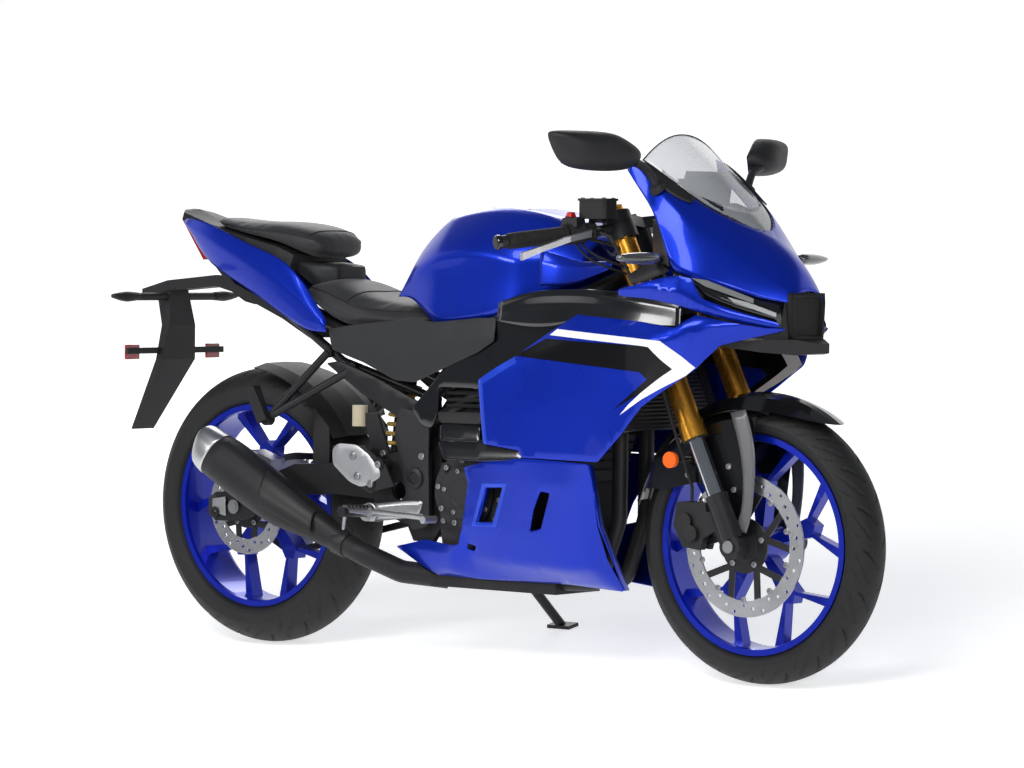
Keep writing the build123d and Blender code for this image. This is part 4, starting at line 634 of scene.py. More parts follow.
WING = [  # x, top (y, z), crease (y, z), low (y, z)
    ((886, 132.2, 902), (886, 137, 892), (886, 140.8, 880), (886, 141, 852), (886, 140.4, 827)),
    ((930, 122, 890), (930, 129, 883), (930, 134.6, 872), (930, 136, 848), (930, 136.2, 827)),
    ((985, 128, 878), (985, 136, 873), (985, 141.6, 866), (985, 143, 848), (985, 143.2, 833)),
    ((1030, 141, 878), (1030, 145, 873), (1030, 147.8, 866), (1030, 149, 854), (1030, 148.8, 845)),
    ((1094, 156, 880), (1094, 158, 877), (1094, 159.8, 873), (1094, 160, 868), (1094, 159, 865))]
loft("air_wings", WING, "blue", levels=2, creases={2: 0.8}, boundary_sharp=True, thick=2.4, replaces=["tank_wings"],
     slot="blue_paint")
LOUVRE = ((0, 866), (5, 866), (-5, 838), (-10, 838))
LOUVRE_FACES = [(0, 2, 4, 6), (1, 7, 5, 3), (0, 1, 3, 2), (2, 3, 5, 4), (4, 5, 7, 6), (6, 7, 1, 0)]
for side_name, sign in SIDES:
    for k in range(4):
        x, y = 948 + 21 * k, 136.8 + 1.9 * k
        verts = [(x + dx, sign * (y + dy), z) for dx, z in LOUVRE for dy in (-1.0, 1.2)]
        piece(f"wing_louvre_{side_name}_{k}", verts, LOUVRE_FACES, "dark", sharp=30)

STRAKE = [  # x, top, upper, recess, lower
    ((791, 158, 789), (791, 161, 780), (791, 162, 766), (791, 166, 750)),
    ((850, 165, 806), (850, 170, 797), (850, 169, 778), (850, 174, 742)),
    ((910, 172, 818), (910, 178, 808), (910, 173, 786), (910, 182, 738)),
    ((990, 176, 820), (990, 184, 811), (990, 178, 788), (990, 188, 744)),
    ((1068, 184, 822), (1068, 191, 812), (1068, 187, 786), (1068, 194, 764)),
    ((1180, 196, 812), (1180, 202, 800), (1180, 203, 776), (1180, 206, 750)),
    ((1250, 198, 804), (1250, 203, 792), (1250, 204, 768), (1250, 206, 742)),
    ((1306, 196, 794), (1306, 200, 784), (1306, 201, 766), (1306, 202, 744))]
loft("side_strakes", STRAKE, "gloss", levels=2, creases={1: 0.8, 2: 0.6}, boundary_sharp=True, thick=2.6,
     replaces=["gloss_strakes"], slot="gloss_black")

COVER_TABLE = [(287, (133, 708), (136, 690), (132, 664)), (430, (143, 718), (147, 672), (143, 626)),
               (510, (150, 728), (154, 664), (149, 601)), (600, (157, 738), (162, 684), (157, 634)),
               (683, (161, 745), (166, 704), (161, 667)), (740, (164, 748), (168, 712), (165, 680)),
               (780, (165, 736), (168, 716), (167, 700))]
cover_height = side_surface(COVER_TABLE)
side_panel("side_trim", [(283, 722), (350, 732), (430, 740), (510, 747), (556, 750), (612, 744), (683, 750), (733, 755),
           (788, 756), (786, 706), (740, 681), (683, 660), (553, 611), (493, 614), (397, 650), (300, 676)],
           cover_height, "grey",
           creases=[[(300, 690), (430, 672), (510, 664), (600, 684), (683, 704), (770, 716)],
                    [(440, 640), (560, 668), (640, 730)]], replaces=["side_covers"], slot="grey_plastic", step=11)

TAIL = [  # top, upper, crease, lower, bottom
    ((-213, 64, 968), (-214, 69, 963), (-214, 72, 958), (-211, 70, 952), (-206, 66, 947)),
    ((-158, 85, 966), (-158, 89, 953), (-158, 90, 940), (-156, 82, 908), (-152, 73, 882)),
    ((-92, 98, 950), (-92, 102, 931), (-92, 104, 910), (-92, 95, 874), (-90, 85, 847)),
    ((40, 112, 902), (40, 118, 885), (40, 122, 866), (40, 118, 830), (40, 112, 801)),
    ((134, 118, 880), (134, 127, 852), (134, 132, 823), (134, 128, 782), (134, 122, 753)),
    ((196, 119, 828), (196, 130, 810), (196, 136, 792), (196, 133, 760), (196, 129, 728)),
    ((222, 122, 800), (222, 132, 788), (222, 138, 776), (222, 136, 744), (222, 132, 717)),
    ((281, 134, 740), (281, 138, 735), (281, 141, 730), (281, 140, 722), (281, 138, 715))]
loft("tail_side_panels", TAIL, "blue", levels=2, creases={2: 0.6}, boundary_sharp=True, thick=2.8,
     replaces=["tail_panels"],
     slot="blue_paint")


# ---- tyres, wheels and brakes -----------------------------------------------------------------
AROUND, ACROSS = 720, 40           # steps of a tyre's mesh
RIM_SEAT = 222.3
GROOVE_DEPTH = 2.6
GROOVES = ((0.08, 0.62, 0.0, 0.42, -0.22, 5.5), (0.34, 0.86, 0.5, 0.2, 0.2, 5.0), (0.66, 0.97, 0.2, 0.3, 0.0, 4.2))


def wrap(value, pitch):
    return (value + pitch / 2) % pitch - pitch / 2


def tread_depth(theta, u, radius, pitch):
    """How deep the tread is cut at an angle round the tyre and a place u across it, -1 to 1."""
    shift = 0.0 if u > 0 else pitch / 2
    a = abs(u)
    for start, stop, offset, slope, bend, width in GROOVES:
        if start < a < stop:
            line = shift + pitch * offset + slope * a + bend * a * a
            taper = min(1.0, (a - start) / 0.05, (stop - a) / 0.05)
            if abs(wrap(theta - line, pitch)) * radius < width / 2 * taper + 0.4:
                return GROOVE_DEPTH
    return 0.0


def tyre_piece(name, axle, radius, half, crown, bead, body, pitches):
    """A tyre round its axle (x, z): half its width, the height of its crown, half the bead's width, tread pitches."""
    ring_r = (half * half + crown * crown) / (2 * crown)
    sweep = math.asin(min(1.0, half / ring_r)) if crown < half else math.pi / 2
    section = []
    wall = [(RIM_SEAT, -bead), (226, -bead - 0.3), (232, -bead - 1), (236, -half + 9.5), (239, -half + 6),
            (244, -half + 3.2), (247, -half + 2.4), (248, -half + 1.7), (249, -half + 2.2)]
    wall = [(r, y, 2) for r, y in wall]  # the third number lies outside the tread's -1 to 1
    for i in range(ACROSS + 1):
        u = -1 + 2 * i / ACROSS
        angle = sweep * u
        section.append((radius - ring_r * (1 - math.cos(angle)), ring_r * math.sin(angle), u))
    line = wall + section + [(r, -y, 2) for r, y, _ in reversed(wall)]
    pitch = 2 * math.pi / pitches
    verts, kinds, faces = [], [], []
    for k in range(AROUND):
        theta = 2 * math.pi * k / AROUND
        for r, y, u in line:
            cut = tread_depth(theta, u, radius, pitch) if abs(u) <= 1 else 0.0
            rr = r - cut
            verts.append((axle[0] + rr * math.cos(theta), y, axle[1] + rr * math.sin(theta)))
            kinds.append(cut > 0)
    count = len(line)
    mats = []
    for k in range(AROUND):
        n = (k + 1) % AROUND
        for i in range(count):
            j = (i + 1) % count
            quad = (k * count + i, k * count + j, n * count + j, n * count + i)
            faces.append(quad)
            # faces deep in a groove take the near-black material: painted shade in the grooves
            mats.append(1 if sum(kinds[q] for q in quad) >= 3 else 0)
    piece(name, verts, faces, ("tyre", "dark"), body, [f"{body.split('_')[0]}_tyre"], "tyre", mats, sharp=38)


tyre_piece("front_tyre_tread", (WHEELBASE, FRONT_R), 292.7, 55.9, 38.0, 37.7, "front_wheel", 20)
tyre_piece("rear_tyre_tread", (0.0, REAR_R), 313.7, 70.9, 46.0, 50.7, "rear_wheel", 18)


def lathe(profile, center, segments=32, closed=False):
    """Points (radius, y) turned about a line across the bike through center (x, z)."""
    verts, faces = [], []
    for k in range(segments):
        a = 2 * math.pi * k / segments
        verts += [(center[0] + r * math.cos(a), y, center[1] + r * math.sin(a)) for r, y in profile]
    n = len(profile)
    for k in range(segments):
        m = (k + 1) % segments
        for i in range(n if closed else n - 1):
            j = (i + 1) % n
            faces.append((k * n + i, k * n + j, m * n + j, m * n + i))
    if not closed:
        faces.append(tuple(k * n for k in reversed(range(segments))))
        faces.append(tuple(k * n + n - 1 for k in range(segments)))
    return verts, faces


def combine(shapes):
    verts, faces = [], []
    for v, f in shapes:
        base = len(verts)
        verts += v
        faces += [tuple(i + base for i in face) for face in f]
    return verts, faces


def bolt_head(x, y, z, side, r=6.0, high=4.0):
    """A socket screw's head standing out of a face that looks to one side of the bike."""
    profile = [(r * 0.98, y - side * 0.5), (r, y + side * high * 0.75), (r * 0.85, y + side * high),
               (r * 0.5, y + side * high), (r * 0.45, y + side * high * 0.45)]
    return lathe(profile, (x, z), 12)


def oriented(shape, origin, axis):
    """Moves a shape made about a line across the bike at (0, 0) so that its +y runs along axis from origin."""
    verts, faces = shape
    spin = Vector((0, 1, 0)).rotation_difference(Vector(axis).normalized())
    return [tuple(spin @ Vector(v) + Vector(origin)) for v in verts], faces


def ring_of_bolts(center, radius, y, side, count, r, start=0.0, high=4.0):
    out = []
    for k in range(count):
        a = start + 2 * math.pi * k / count
        out.append(bolt_head(center[0] + radius * math.cos(a), y, center[1] + radius * math.sin(a), side, r, high))
    return out


def box_shape(low, high, t=0.0):
    """A box, drawn in by t at its top."""
    (x0, y0, z0), (x1, y1, z1) = low, high
    verts = [(x0, y0, z0), (x1, y0, z0), (x1, y1, z0), (x0, y1, z0), (x0 + t, y0 + t, z1), (x1 - t, y0 + t, z1),
             (x1 - t, y1 - t, z1), (x0 + t, y1 - t, z1)]
    return verts, [(0, 3, 2, 1), (4, 5, 6, 7), (0, 1, 5, 4), (1, 2, 6, 5), (2, 3, 7, 6), (3, 0, 4, 7)]


def fitting(name, shapes, mats, body="chassis", slot=None, bevel=0.0):
    """Several closed shapes as one piece."""
    soften(piece(name, *combine(shapes), mats, body, slot=slot), bevel, 40)


front_hub, rear_hub = (WHEELBASE, FRONT_R), (0.0, REAR_R)
fitting("front_disc_bolts", ring_of_bolts(front_hub, 112, -70.3, -1, 10, 6.5, math.radians(18), 3.5)
        + ring_of_bolts(front_hub, 46, -70.3, -1, 5, 6.5, 0.3, 4), "bolt", "front_wheel")
fitting("rear_disc_bolts", ring_of_bolts(rear_hub, 44, -86.3, -1, 5, 6.5, 0.3, 3.5), "bolt", "rear_wheel")
fitting("hub_caps", [lathe([(14, -98), (20, -97), (30, -71), (36, -69.5)], front_hub, 40)], "heat", "front_wheel")
fitting("sprocket_bolts", ring_of_bolts(rear_hub, 52, 88.2, 1, 6, 6.5, 0.2, 4), "bolt", "rear_wheel")


CARRIER_BLACK = (0.012, 0.012, 0.013, 1)


def masked_disc(name, centre, inner, outer):
    """Steel braking band outside, black carrier inside, told apart by the distance from the hub."""
    mat = material(name, (0.6, 0.6, 0.61), rough=0.28, metal=1.0, vary=0.08, bump=0.05, bump_scale=1600)
    tree = mat.node_tree
    shader = tree.nodes["Principled BSDF"]
    reach = add_node(tree, "VectorMath", add_node(tree, "TexCoord").outputs["Object"], centre,
                     setting=[("operation", "DISTANCE")])
    edge = add_node(tree, "MapRange", Value=reach.outputs["Value"], From_Min=inner, From_Max=outer).outputs["Result"]
    mix = add_node(tree, "Mix", setting=[("data_type", "RGBA")], Factor=edge, A=CARRIER_BLACK,
                   B=shader.inputs["Base Color"].links[0].from_socket)
    tree.links.new(mix.outputs["Result"], shader.inputs["Base Color"])
    tree.links.new(edge, shader.inputs["Metallic"])
    return mat


for end, hub, inner, outer in (("front", (WHEELBASE, -68, FRONT_R), 0.1135, 0.1145),
                               ("rear", (0, -84, REAR_R), 0.0745, 0.0755)):
    NODES[f"{end}_disc"].data.materials[0] = masked_disc(f"{end}_disc_steel", place(hub), inner, outer)


# ---- saddles ----------------------------------------------------------------------------------
VOXEL = 0.0055                     # metres
CLOTH_FRAMES = 20
CLOTH_PRESSURE = 4


def closed_form(rows):
    """A closed mesh from cross-sections, each given from its middle line outwards and down."""
    rings = [[(x, -y, z) for x, y, z in reversed(row[1:])] + list(row) for row in rows]
    return [p for ring in rings for p in ring], grid_faces(len(rings), len(rings[0]), True, caps=True)


def cushion(name, rows, replaced, cap, smooth=5):
    """A padded cover: remeshed, blown up a little as cloth, its travel capped in mm, then smoothed."""
    obj = piece(name, *closed_form(rows), "leather", replaces=[replaced], slot="saddle_cover", sharp=180)
    bpy.context.view_layer.objects.active = obj
    modify(obj, "SUBSURF", levels=2, render_levels=2)
    modify(obj, "REMESH", mode="VOXEL", voxel_size=VOXEL)
    mesh = bpy.data.meshes.new_from_object(obj.evaluated_get(bpy.context.evaluated_depsgraph_get()))
    obj.modifiers.clear()
    obj.data = mesh
    if not mesh.materials:
        mesh.materials.append(MAT["leather"])
    before = [v.co.copy() for v in mesh.vertices]
    cloth = obj.modifiers.new("cloth", "CLOTH")
    cloth.settings.use_pressure = True
    cloth.settings.uniform_pressure_force = CLOTH_PRESSURE
    cloth.settings.effector_weights.gravity = 0
    cloth.settings.quality = 4
    cloth.point_cache.frame_start, cloth.point_cache.frame_end = 1, CLOTH_FRAMES
    for number in range(1, CLOTH_FRAMES + 1):
        bpy.context.scene.frame_set(number)
    moved = bpy.data.meshes.new_from_object(obj.evaluated_get(bpy.context.evaluated_depsgraph_get()))
    obj.modifiers.clear()
    for v, old, new in zip(mesh.vertices, before, moved.vertices):
        step = new.co - old
        if step.length > cap / 1000:
            step = step.normalized() * cap / 1000
        v.co = old + step
    bpy.context.scene.frame_set(1)
    modify(obj, "SMOOTH", factor=0.5, iterations=smooth)
    modify(obj, "SUBSURF", levels=1, render_levels=1)
    shade_smooth(mesh)
    return obj


def seam_line(name, points, pad, r=1.5):
    """A sewn seam on both sides of a cushion: points (x, y, z) drop onto the nearest of its surface."""
    tree = BVHTree.FromObject(pad, bpy.context.evaluated_depsgraph_get())
    dense = [Vector(a).lerp(Vector(b), k / 6) for a, b in zip(points, points[1:]) for k in range(6)]
    for side_name, sign in reversed(SIDES):
        path = []
        for p in dense + [Vector(points[-1])]:
            hit, normal, _, _ = tree.find_nearest(place((p.x, sign * p.y, p.z)))
            if hit is not None:
                path.append(hit + normal * 0.0004)
        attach(tube(f"{name}_{side_name}", name, path, r, "rubber", 2), "chassis")


RIDER = [  # x, then top centre, top side, edge, flank, low
    ((158, 0, 828), (158, 58, 827), (158, 88, 818), (158, 90, 808), (158, 86, 802)),
    ((210, 0, 832), (210, 66, 829), (210, 104, 812), (210, 107, 792), (206, 104, 774)),
    ((269, 0, 830), (269, 76, 826), (269, 121, 802), (269, 125, 770), (269, 126, 738)),
    ((350, 0, 796), (350, 78, 793), (350, 125, 775), (350, 131, 752), (350, 134, 728)),
    ((430, 0, 782), (430, 70, 780), (430, 110, 766), (430, 124, 748), (430, 131, 726)),
    ((520, 0, 778), (520, 64, 776), (520, 100, 765), (520, 112, 750), (520, 121, 732)),
    ((576, 0, 766), (576, 60, 764), (576, 94, 757), (576, 104, 748), (576, 111, 739))]
rider_pad = cushion("rider_saddle_pad", RIDER, "rider_saddle", cap=5.0)
seam_line("rider_saddle_seam", [(172, 84, 822), (269, 116, 803), (350, 120, 775), (430, 105, 767), (520, 95, 765),
                                (560, 90, 758)], rider_pad)
seam_line("rider_saddle_front_seam", [(322, 118, 785), (334, 60, 806), (342, 0, 806)], rider_pad, r=1.2)

PASSENGER = [  # top centre, shoulder, edge, flank, low
    ((-146, 0, 971), (-146, 34, 970), (-146, 56, 966), (-146, 58, 962), (-146, 56, 959)),
    ((-80, 0, 964), (-80, 50, 963), (-80, 76, 956), (-80, 78, 950), (-80, 74, 946)),
    ((0, 0, 957), (0, 62, 956), (0, 94, 946), (0, 98, 940), (0, 94, 932)),
    ((95, 0, 960), (95, 66, 958), (95, 99, 940), (95, 102, 928), (95, 96, 914)),
    ((178, 0, 944), (178, 64, 942), (180, 95, 927), (180, 96, 905), (178, 90, 878)),
    ((218, 0, 922), (218, 44, 920), (220, 70, 912), (220, 72, 896), (218, 66, 872))]
passenger_pad = cushion("passenger_saddle_pad", PASSENGER, "passenger_saddle", cap=4.0, smooth=3)
seam_line("passenger_saddle_seam", [(-130, 55, 966), (-80, 74, 957), (0, 92, 947), (95, 98, 942), (178, 93, 929),
                                    (214, 68, 914)], passenger_pad)
seam_line("passenger_front_seam", [(180, 92, 929), (186, 50, 944), (188, 0, 946)], passenger_pad, r=1.2)


# ---- smooth forms that stand for faceted solids ---------------------------------------------------
OVAL_POINTS, OVAL_POWER = 20, 0.82  # a power under 1 squares the oval a little


def oval_row(center, up, half_width, half_height, y):
    """A ring of points round center (x, z), its height along up (x, z)."""
    size = math.hypot(*up)
    row = []
    for k in range(OVAL_POINTS):
        a = 2 * math.pi * k / OVAL_POINTS
        c, s = (math.copysign(abs(v) ** OVAL_POWER, v) for v in (math.cos(a), math.sin(a)))
        row.append((center[0] + up[0] * half_height * s / size, y + half_width * c,
                    center[1] + up[1] * half_height * s / size))
    return row


MUFFLER = [((378, 254), (9.6, 25.6), 26, 26, -182.4), ((360, 262), (9, 30), 27, 29, -183),
           ((300, 292), (4, 70), 33, 38, -186),
           ((235, 322), (-2, 110), 42, 52, -191), ((178, 347), (-7, 150), 47, 61, -194),
           ((140, 366), (-2, 145), 47, 61, -194),
           ((60, 409), (40, 128), 46, 57, -194), ((13, 433), (73, 104), 45, 53, -194)]
CLOSED = dict(thick=0, mirror=False, close=True, caps=True)
loft("muffler_body", [oval_row(*m) for m in MUFFLER], "heat", levels=1, row_creases={4: 0.35, 0: 1.0, -1: 1.0},
     replaces=["muffler"], slot="exhaust_black", **CLOSED)
CAN_END = [((12, 433.5), (75, 103), 45.6, 53.8, -194), ((6, 436.5), (72, 104), 46, 54, -194),
           ((-26, 453), (36, 110), 42, 51, -194), ((-30, 455), (34, 110), 39, 47, -194),
           ((-31, 455), (34, 110), 30, 35, -194),
           ((-20, 452), (40, 110), 28, 32, -194), ((-8, 447), (48, 108), 24, 27, -194)]
loft("muffler_cap", [oval_row(*m) for m in CAN_END], ("steel", "dark"), levels=1,
     row_creases={0: 1.0, 1: 0.6, 3: 0.6, 4: 0.8}, replaces=["muffler_end"], slot="brushed_metal", **CLOSED)
fitting("muffler_outlet", [oriented(lathe([(18, 0), (18, 14), (15.5, 14), (15.5, 1)], (0, 0), 28), (-8, -190, 447),
                                    (-1, 0, 0.35))],
        "heat")
fitting("muffler_shield", [oriented(lathe([(28.5, 0), (30, 4), (30, 34), (28.5, 38)], (0, 0), 32), (392, -181, 249),
                                    (-1, -0.03, 0.3))],
        "shield")
SHIELD = [[(x, -194 - 49.5 * k * math.cos(a), z + 63.5 * k * math.sin(a)) for a in
           (math.radians(g) for g in (70, 52, 34, 16, -2, -18))] for x, z, k in
          ((318, 284, 0.66), (300, 292, 0.7), (235, 322, 0.88), (200, 338, 0.97), (178, 347, 1.0))]
loft("muffler_heat_guard", SHIELD, "shield", levels=2, thick=1.6, mirror=False, boundary_sharp=True)

SCREEN = [  # x, then middle, quarter, edge
    ((1383, 0, 939.4), (1383, 3, 939.4), (1383, 6, 938)), ((1348, 0, 976), (1348, 37, 973), (1347, 69, 965)),
    ((1306, 0, 1018), (1306, 56, 1010), (1305, 105, 993)), ((1251, 0, 1076), (1251, 70, 1064), (1250, 123, 1031)),
    ((1200, 0, 1121), (1200, 76, 1107), (1199, 134, 1068)), ((1161, 0, 1153), (1161, 80, 1137), (1160, 141, 1092))]
loft("screen_shell", SCREEN, "clear", levels=2, thick=2.2, boundary_sharp=True, replaces=["windscreen"],
     slot="clear_screen")
SCREEN_RIM = [[(x, y - 1, z - 2.2), (x - 2, y - 9, z - 5.5)] for x, y, z in (row[2] for row in SCREEN)]
loft("screen_rim", SCREEN_RIM, "plastic", levels=1, thick=1.6)

# ---- rear lamps ------------------------------------------------------------------------------
for side_name, sign in SIDES:
    rows = [[(-321, sign * 129, 775), (-291, sign * 129, 777), (-291, sign * 129, 797), (-321, sign * 129, 797)],
            [(-323, sign * 150, 773), (-289, sign * 150, 775), (-290, sign * 150, 799), (-322, sign * 150, 798)],
            [(-323, sign * 170, 771), (-287, sign * 170, 773), (-289, sign * 170, 801), (-321, sign * 170, 799)],
            [(-313, sign * 211, 783), (-297, sign * 211, 783), (-299, sign * 211, 793), (-311, sign * 211, 793)]]
    loft(f"rear_indicator_{side_name}", rows, "plastic", row_creases={0: 0.8, -1: 0.7},
         replaces=["rear_lamps"] if sign > 0 else (), slot="black_plastic", **CLOSED)
    y0, y1 = sorted((sign * 113, sign * 159))
    fitting(f"rear_reflector_{side_name}", [box_shape((-317.5, y0, 641), (-311.5, y1, 675))], "red", bevel=2.0,
            slot="red_lens")
verts = [(x, y, z) for y in (-56, 56) for x, z in ((-235, 967), (-227, 962.8), (-152, 878), (-167, 873))]
piece("tail_light", verts, SLAB_FACES, "red", slot="red_lens", sharp=30)

# ---- radiator, engine and chassis fittings -------------------------------------------------------
TUBES, FINS = 24, 60
fins = []
for k in range(TUBES):
    t = (k + 0.5) / TUBES
    x, z = 1142 + (1056 - 1142) * t, 530 + (728 - 530) * t
    fins.append(box_shape((x - 2.0, -148, z - 1.4), (x + 1.2, 148, z + 1.4)))
for k in range(FINS):
    y = -147.5 + 295 * k / (FINS - 1)
    verts = [(x + dx, y + dy, z) for x, z in ((1142, 531), (1056, 727)) for dx in (-3, -0.2) for dy in (-0.7, 0.7)]
    fins.append((verts, FIN_FACES))
fitting("radiator_fins", fins, "core")

clutch, oil_side, alternator = (684, 376), (812, 334), (792, 346)
engine_bolts = ring_of_bolts(clutch, 70, -142.2, -1, 9, 6.5, 0.2) + ring_of_bolts(clutch, 47, -149.0, -1, 5, 5.5, 0.5)
engine_bolts += ring_of_bolts(oil_side, 44, -136.2, -1, 6, 6, 0.3) + ring_of_bolts(alternator, 60, 152.2, 1, 7, 6, 0.4)
CLUTCH_BOLTS = ((622, 312), (624, 420), (700, 442), (760, 424), (846, 330), (838, 290))
engine_bolts += [bolt_head(x, -132.2, z, -1, 6.5) for x, z in CLUTCH_BOLTS]
engine_bolts += [bolt_head(x, 130.2, z, 1, 6) for x, z in ((602, 330), (606, 436), (690, 438), (700, 330))]
fitting("engine_bolts", engine_bolts, "bolt")
fitting("engine_covers", [lathe([(40, -148), (44, -149.2), (44, -150.6), (40, -151.4), (30, -151.4), (28, -150)],
                                clutch, 48),
                          lathe([(22, -135), (24, -138), (24, -143), (20, -145), (8, -145)], oil_side, 32),
                          lathe([(15, -130), (15, -140), (12, -142), (4, -142)], (640, 424), 6)], "cast")
cylinder_fins = []
for k in range(7):
    low, high = (803 + 7.0 * k, 462 + 19 * k), (938 + 7.2 * k, 428 + 19 * k)
    edges = (low, high, (low[0] - 1.2, low[1] + 3.2), (high[0] - 1.2, high[1] + 3.2))
    cylinder_fins.append(([(x, y, z) for x, z in edges for y in (-114, 114)], FIN_FACES))
fitting("cylinder_fins", cylinder_fins, "cast")

HEEL_BOLTS, PIVOT_BOLTS = ((448, 386), (470, 430)), ((566, 450), (566, 318))
chassis_bolts = []
for sign, pivot_bolts in ((-1, PIVOT_BOLTS + ((455, 452),)), (1, PIVOT_BOLTS)):
    chassis_bolts += [bolt_head(x, sign * 174.4, z, sign, 8.5, 5) for x, z in HEEL_BOLTS]
    chassis_bolts += [bolt_head(x, sign * 140.4, z, sign, 8, 5) for x, z in pivot_bolts]
fitting("rearset_bolts", chassis_bolts, "bolt")
fitting("heel_plate_rings", [lathe([(15, s * 174.1), (15, s * 175.2), (10.5, s * 175.2), (10.5, s * 174.1)], c, 28,
                                   closed=True) for s in (-1, 1) for c in HEEL_BOLTS], "dark")
ADJUSTER = ((-66, 300), (-66, 330), (-26, 336), (-26, 292))
fitting("swingarm_adjusters", [([(x, s * y, z) for y in (125.3, 128.3) for x, z in ADJUSTER], SLAB_FACES)
                               for s in (-1, 1)], "alloy", bevel=0.8)

# the pegs get a ribbed rubber top, the grips ribs and an end weight
for side_name, sign in SIDES:
    ribs = []
    for y in range(182, 252, 12):
        (y0, y1), rise = sorted((sign * y, sign * (y + 7))), 0.05 * (y - 180)
        ribs.append(box_shape((430, y0, 334 + rise), (450, y1, 340 + rise), 1.5))
    fitting(f"peg_rubber_{side_name}", ribs, "rubber")
    low, high = Vector((1083, sign * 112, 950)), Vector((948, sign * 354, 917))
    along = (high - low).normalized()
    rings = [oriented(lathe([(16.4, -1.5), (17.5, -0.8), (17.5, 0.8), (16.4, 1.5)], (0, 0), 24), low + (high - low) * t,
                      along)
             for t in [0.5 + 0.0215 * k for k in range(19)]]
    fitting(f"grip_ribs_{side_name}", rings, "rubber", "steering")
    fitting(f"bar_weight_{side_name}", [oriented(lathe([(12.5, -0.6), (15.5, 1.5), (15.5, 9), (11, 12), (4, 12)],
                                                       (0, 0), 28),
                                                 low + (high - low) * 0.985, along)], "gloss", "steering")

# ---- fork, controls and hose -------------------------------------------------------------------
fork_rings, fork_caps = [], []
for sign in (-1, 1):
    for up in (548, 556):
        seal = lathe([(25.2, -3), (26.4, -2), (26.4, 2), (25.2, 3)], (0, 0), 40)
        fork_rings.append(oriented(seal, steer(FORK_OFFSET, sign * 104, up), STEER_UP))
    for profile, count in (([(21, -0.5), (21, 4), (19, 6), (12, 6)], 6), ([(8, 5), (8, 8.5), (6, 9.5)], 20)):
        fork_caps.append(oriented(lathe(profile, (0, 0), count), steer(FORK_OFFSET, sign * 104, 1072.3), STEER_UP))
fitting("fork_seals", fork_rings, "rubber", "steering")
fitting("fork_caps", fork_caps, "gold", "steering")
FORK_BOLTS = ((1343, 456), (1357, 408), (1239, 435), (1216, 506))
fitting("fork_bolts", [bolt_head(x, s * 76.8, z, s, 6.5, 4) for s in (-1, 1) for x, z in FORK_BOLTS]
        + [bolt_head(1226, s * 117, 467, s, 5, 3) for s in (-1, 1)], "bolt", "steering")

switches = []
for sign in (-1, 1):
    y0, y1 = sorted((sign * 188, sign * 222))
    switches.append(box_shape((1006, y0, 950), (1050, y1, 970), 3.0))
    switches.append(box_shape((1012, y0 + 4, 966), (1030, y1 - 4, 973), 2.0))
    switches.append(box_shape((1034, y0 + 6, 966), (1046, y1 - 6, 972), 2.0))
fitting("switch_boxes", switches, "plastic", "steering", bevel=1.5)
fitting("stop_switch", [box_shape((1014, -216, 971), (1030, -196, 982), 3.0)], "switch", "steering", bevel=1.2)
fitting("reservoir_screws", [oriented(bolt_head(0, 0, 0, 1, 4.5, 2.5), (1063 + dx, -167 + dy, 1010.6), (0, 0, 1))
                             for dx, dy in ((-28, -16), (28, -16), (-28, 16), (28, 16))], "bolt", "steering")


def hose(name, points, r, body, mat="rubber", order=3):
    """A curve through the control points of a line or cable."""
    obj = tube(name, name, [place(p) for p in points], r, mat, 4, "NURBS")
    obj.data.resolution_u = 12
    obj.data.splines[0].order_u = order
    obj.data.splines[0].use_endpoint_u = True
    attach(obj, body)


def wire(name, points, r, body, mat, replaces=(), slot=None):
    """A round bar bent along many points."""
    obj = tube(name, name, [place(p) for p in points], r, mat, 3)
    obj.data.use_fill_caps = True
    declare(obj, body, replaces, slot)


hose("throttle_line_a", [(1030, -204, 930), (1062, -196, 898), (1090, -168, 880), (1120, -120, 862)], 2.6, "steering")
hose("throttle_line_b", [(1024, -208, 932), (1052, -204, 890), (1088, -172, 868), (1116, -118, 850)], 2.6, "steering")
hose("clutch_line", [(1070, 190, 934), (1110, 182, 905), (1124, 150, 870), (1126, 118, 850)], 2.8, "steering")
hose("wiring_sleeve", [(1010, -196, 950), (1044, -176, 925), (1078, -150, 918), (1098, -120, 900)], 3.4, "steering")

# ---- the instrument glass ----------------------------------------------------------------------------
GLASS = ((-60, 1008), (60, 1008), (66, 1054), (-66, 1054))
fitting("instrument_glass", [([(x, y, z) for x in (1196.4, 1197.6) for y, z in GLASS], SLAB_FACES)], "gloss")


# ---- frame covers, slats and the parts between them ------------------------------------------------
def cover(name, outline, y, mat="frame", thick=5.0, creases=(), radius=8.0, lean_out=0.0):
    """A panel that stays at one distance from the middle, or leans outward a little with height."""
    middle = sum(p[1] for p in outline) / len(outline)
    side_panel(name, outline, lambda x, z: y + (z - middle) * lean_out, mat, creases=creases, step=16, thick=thick,
               radius=radius)


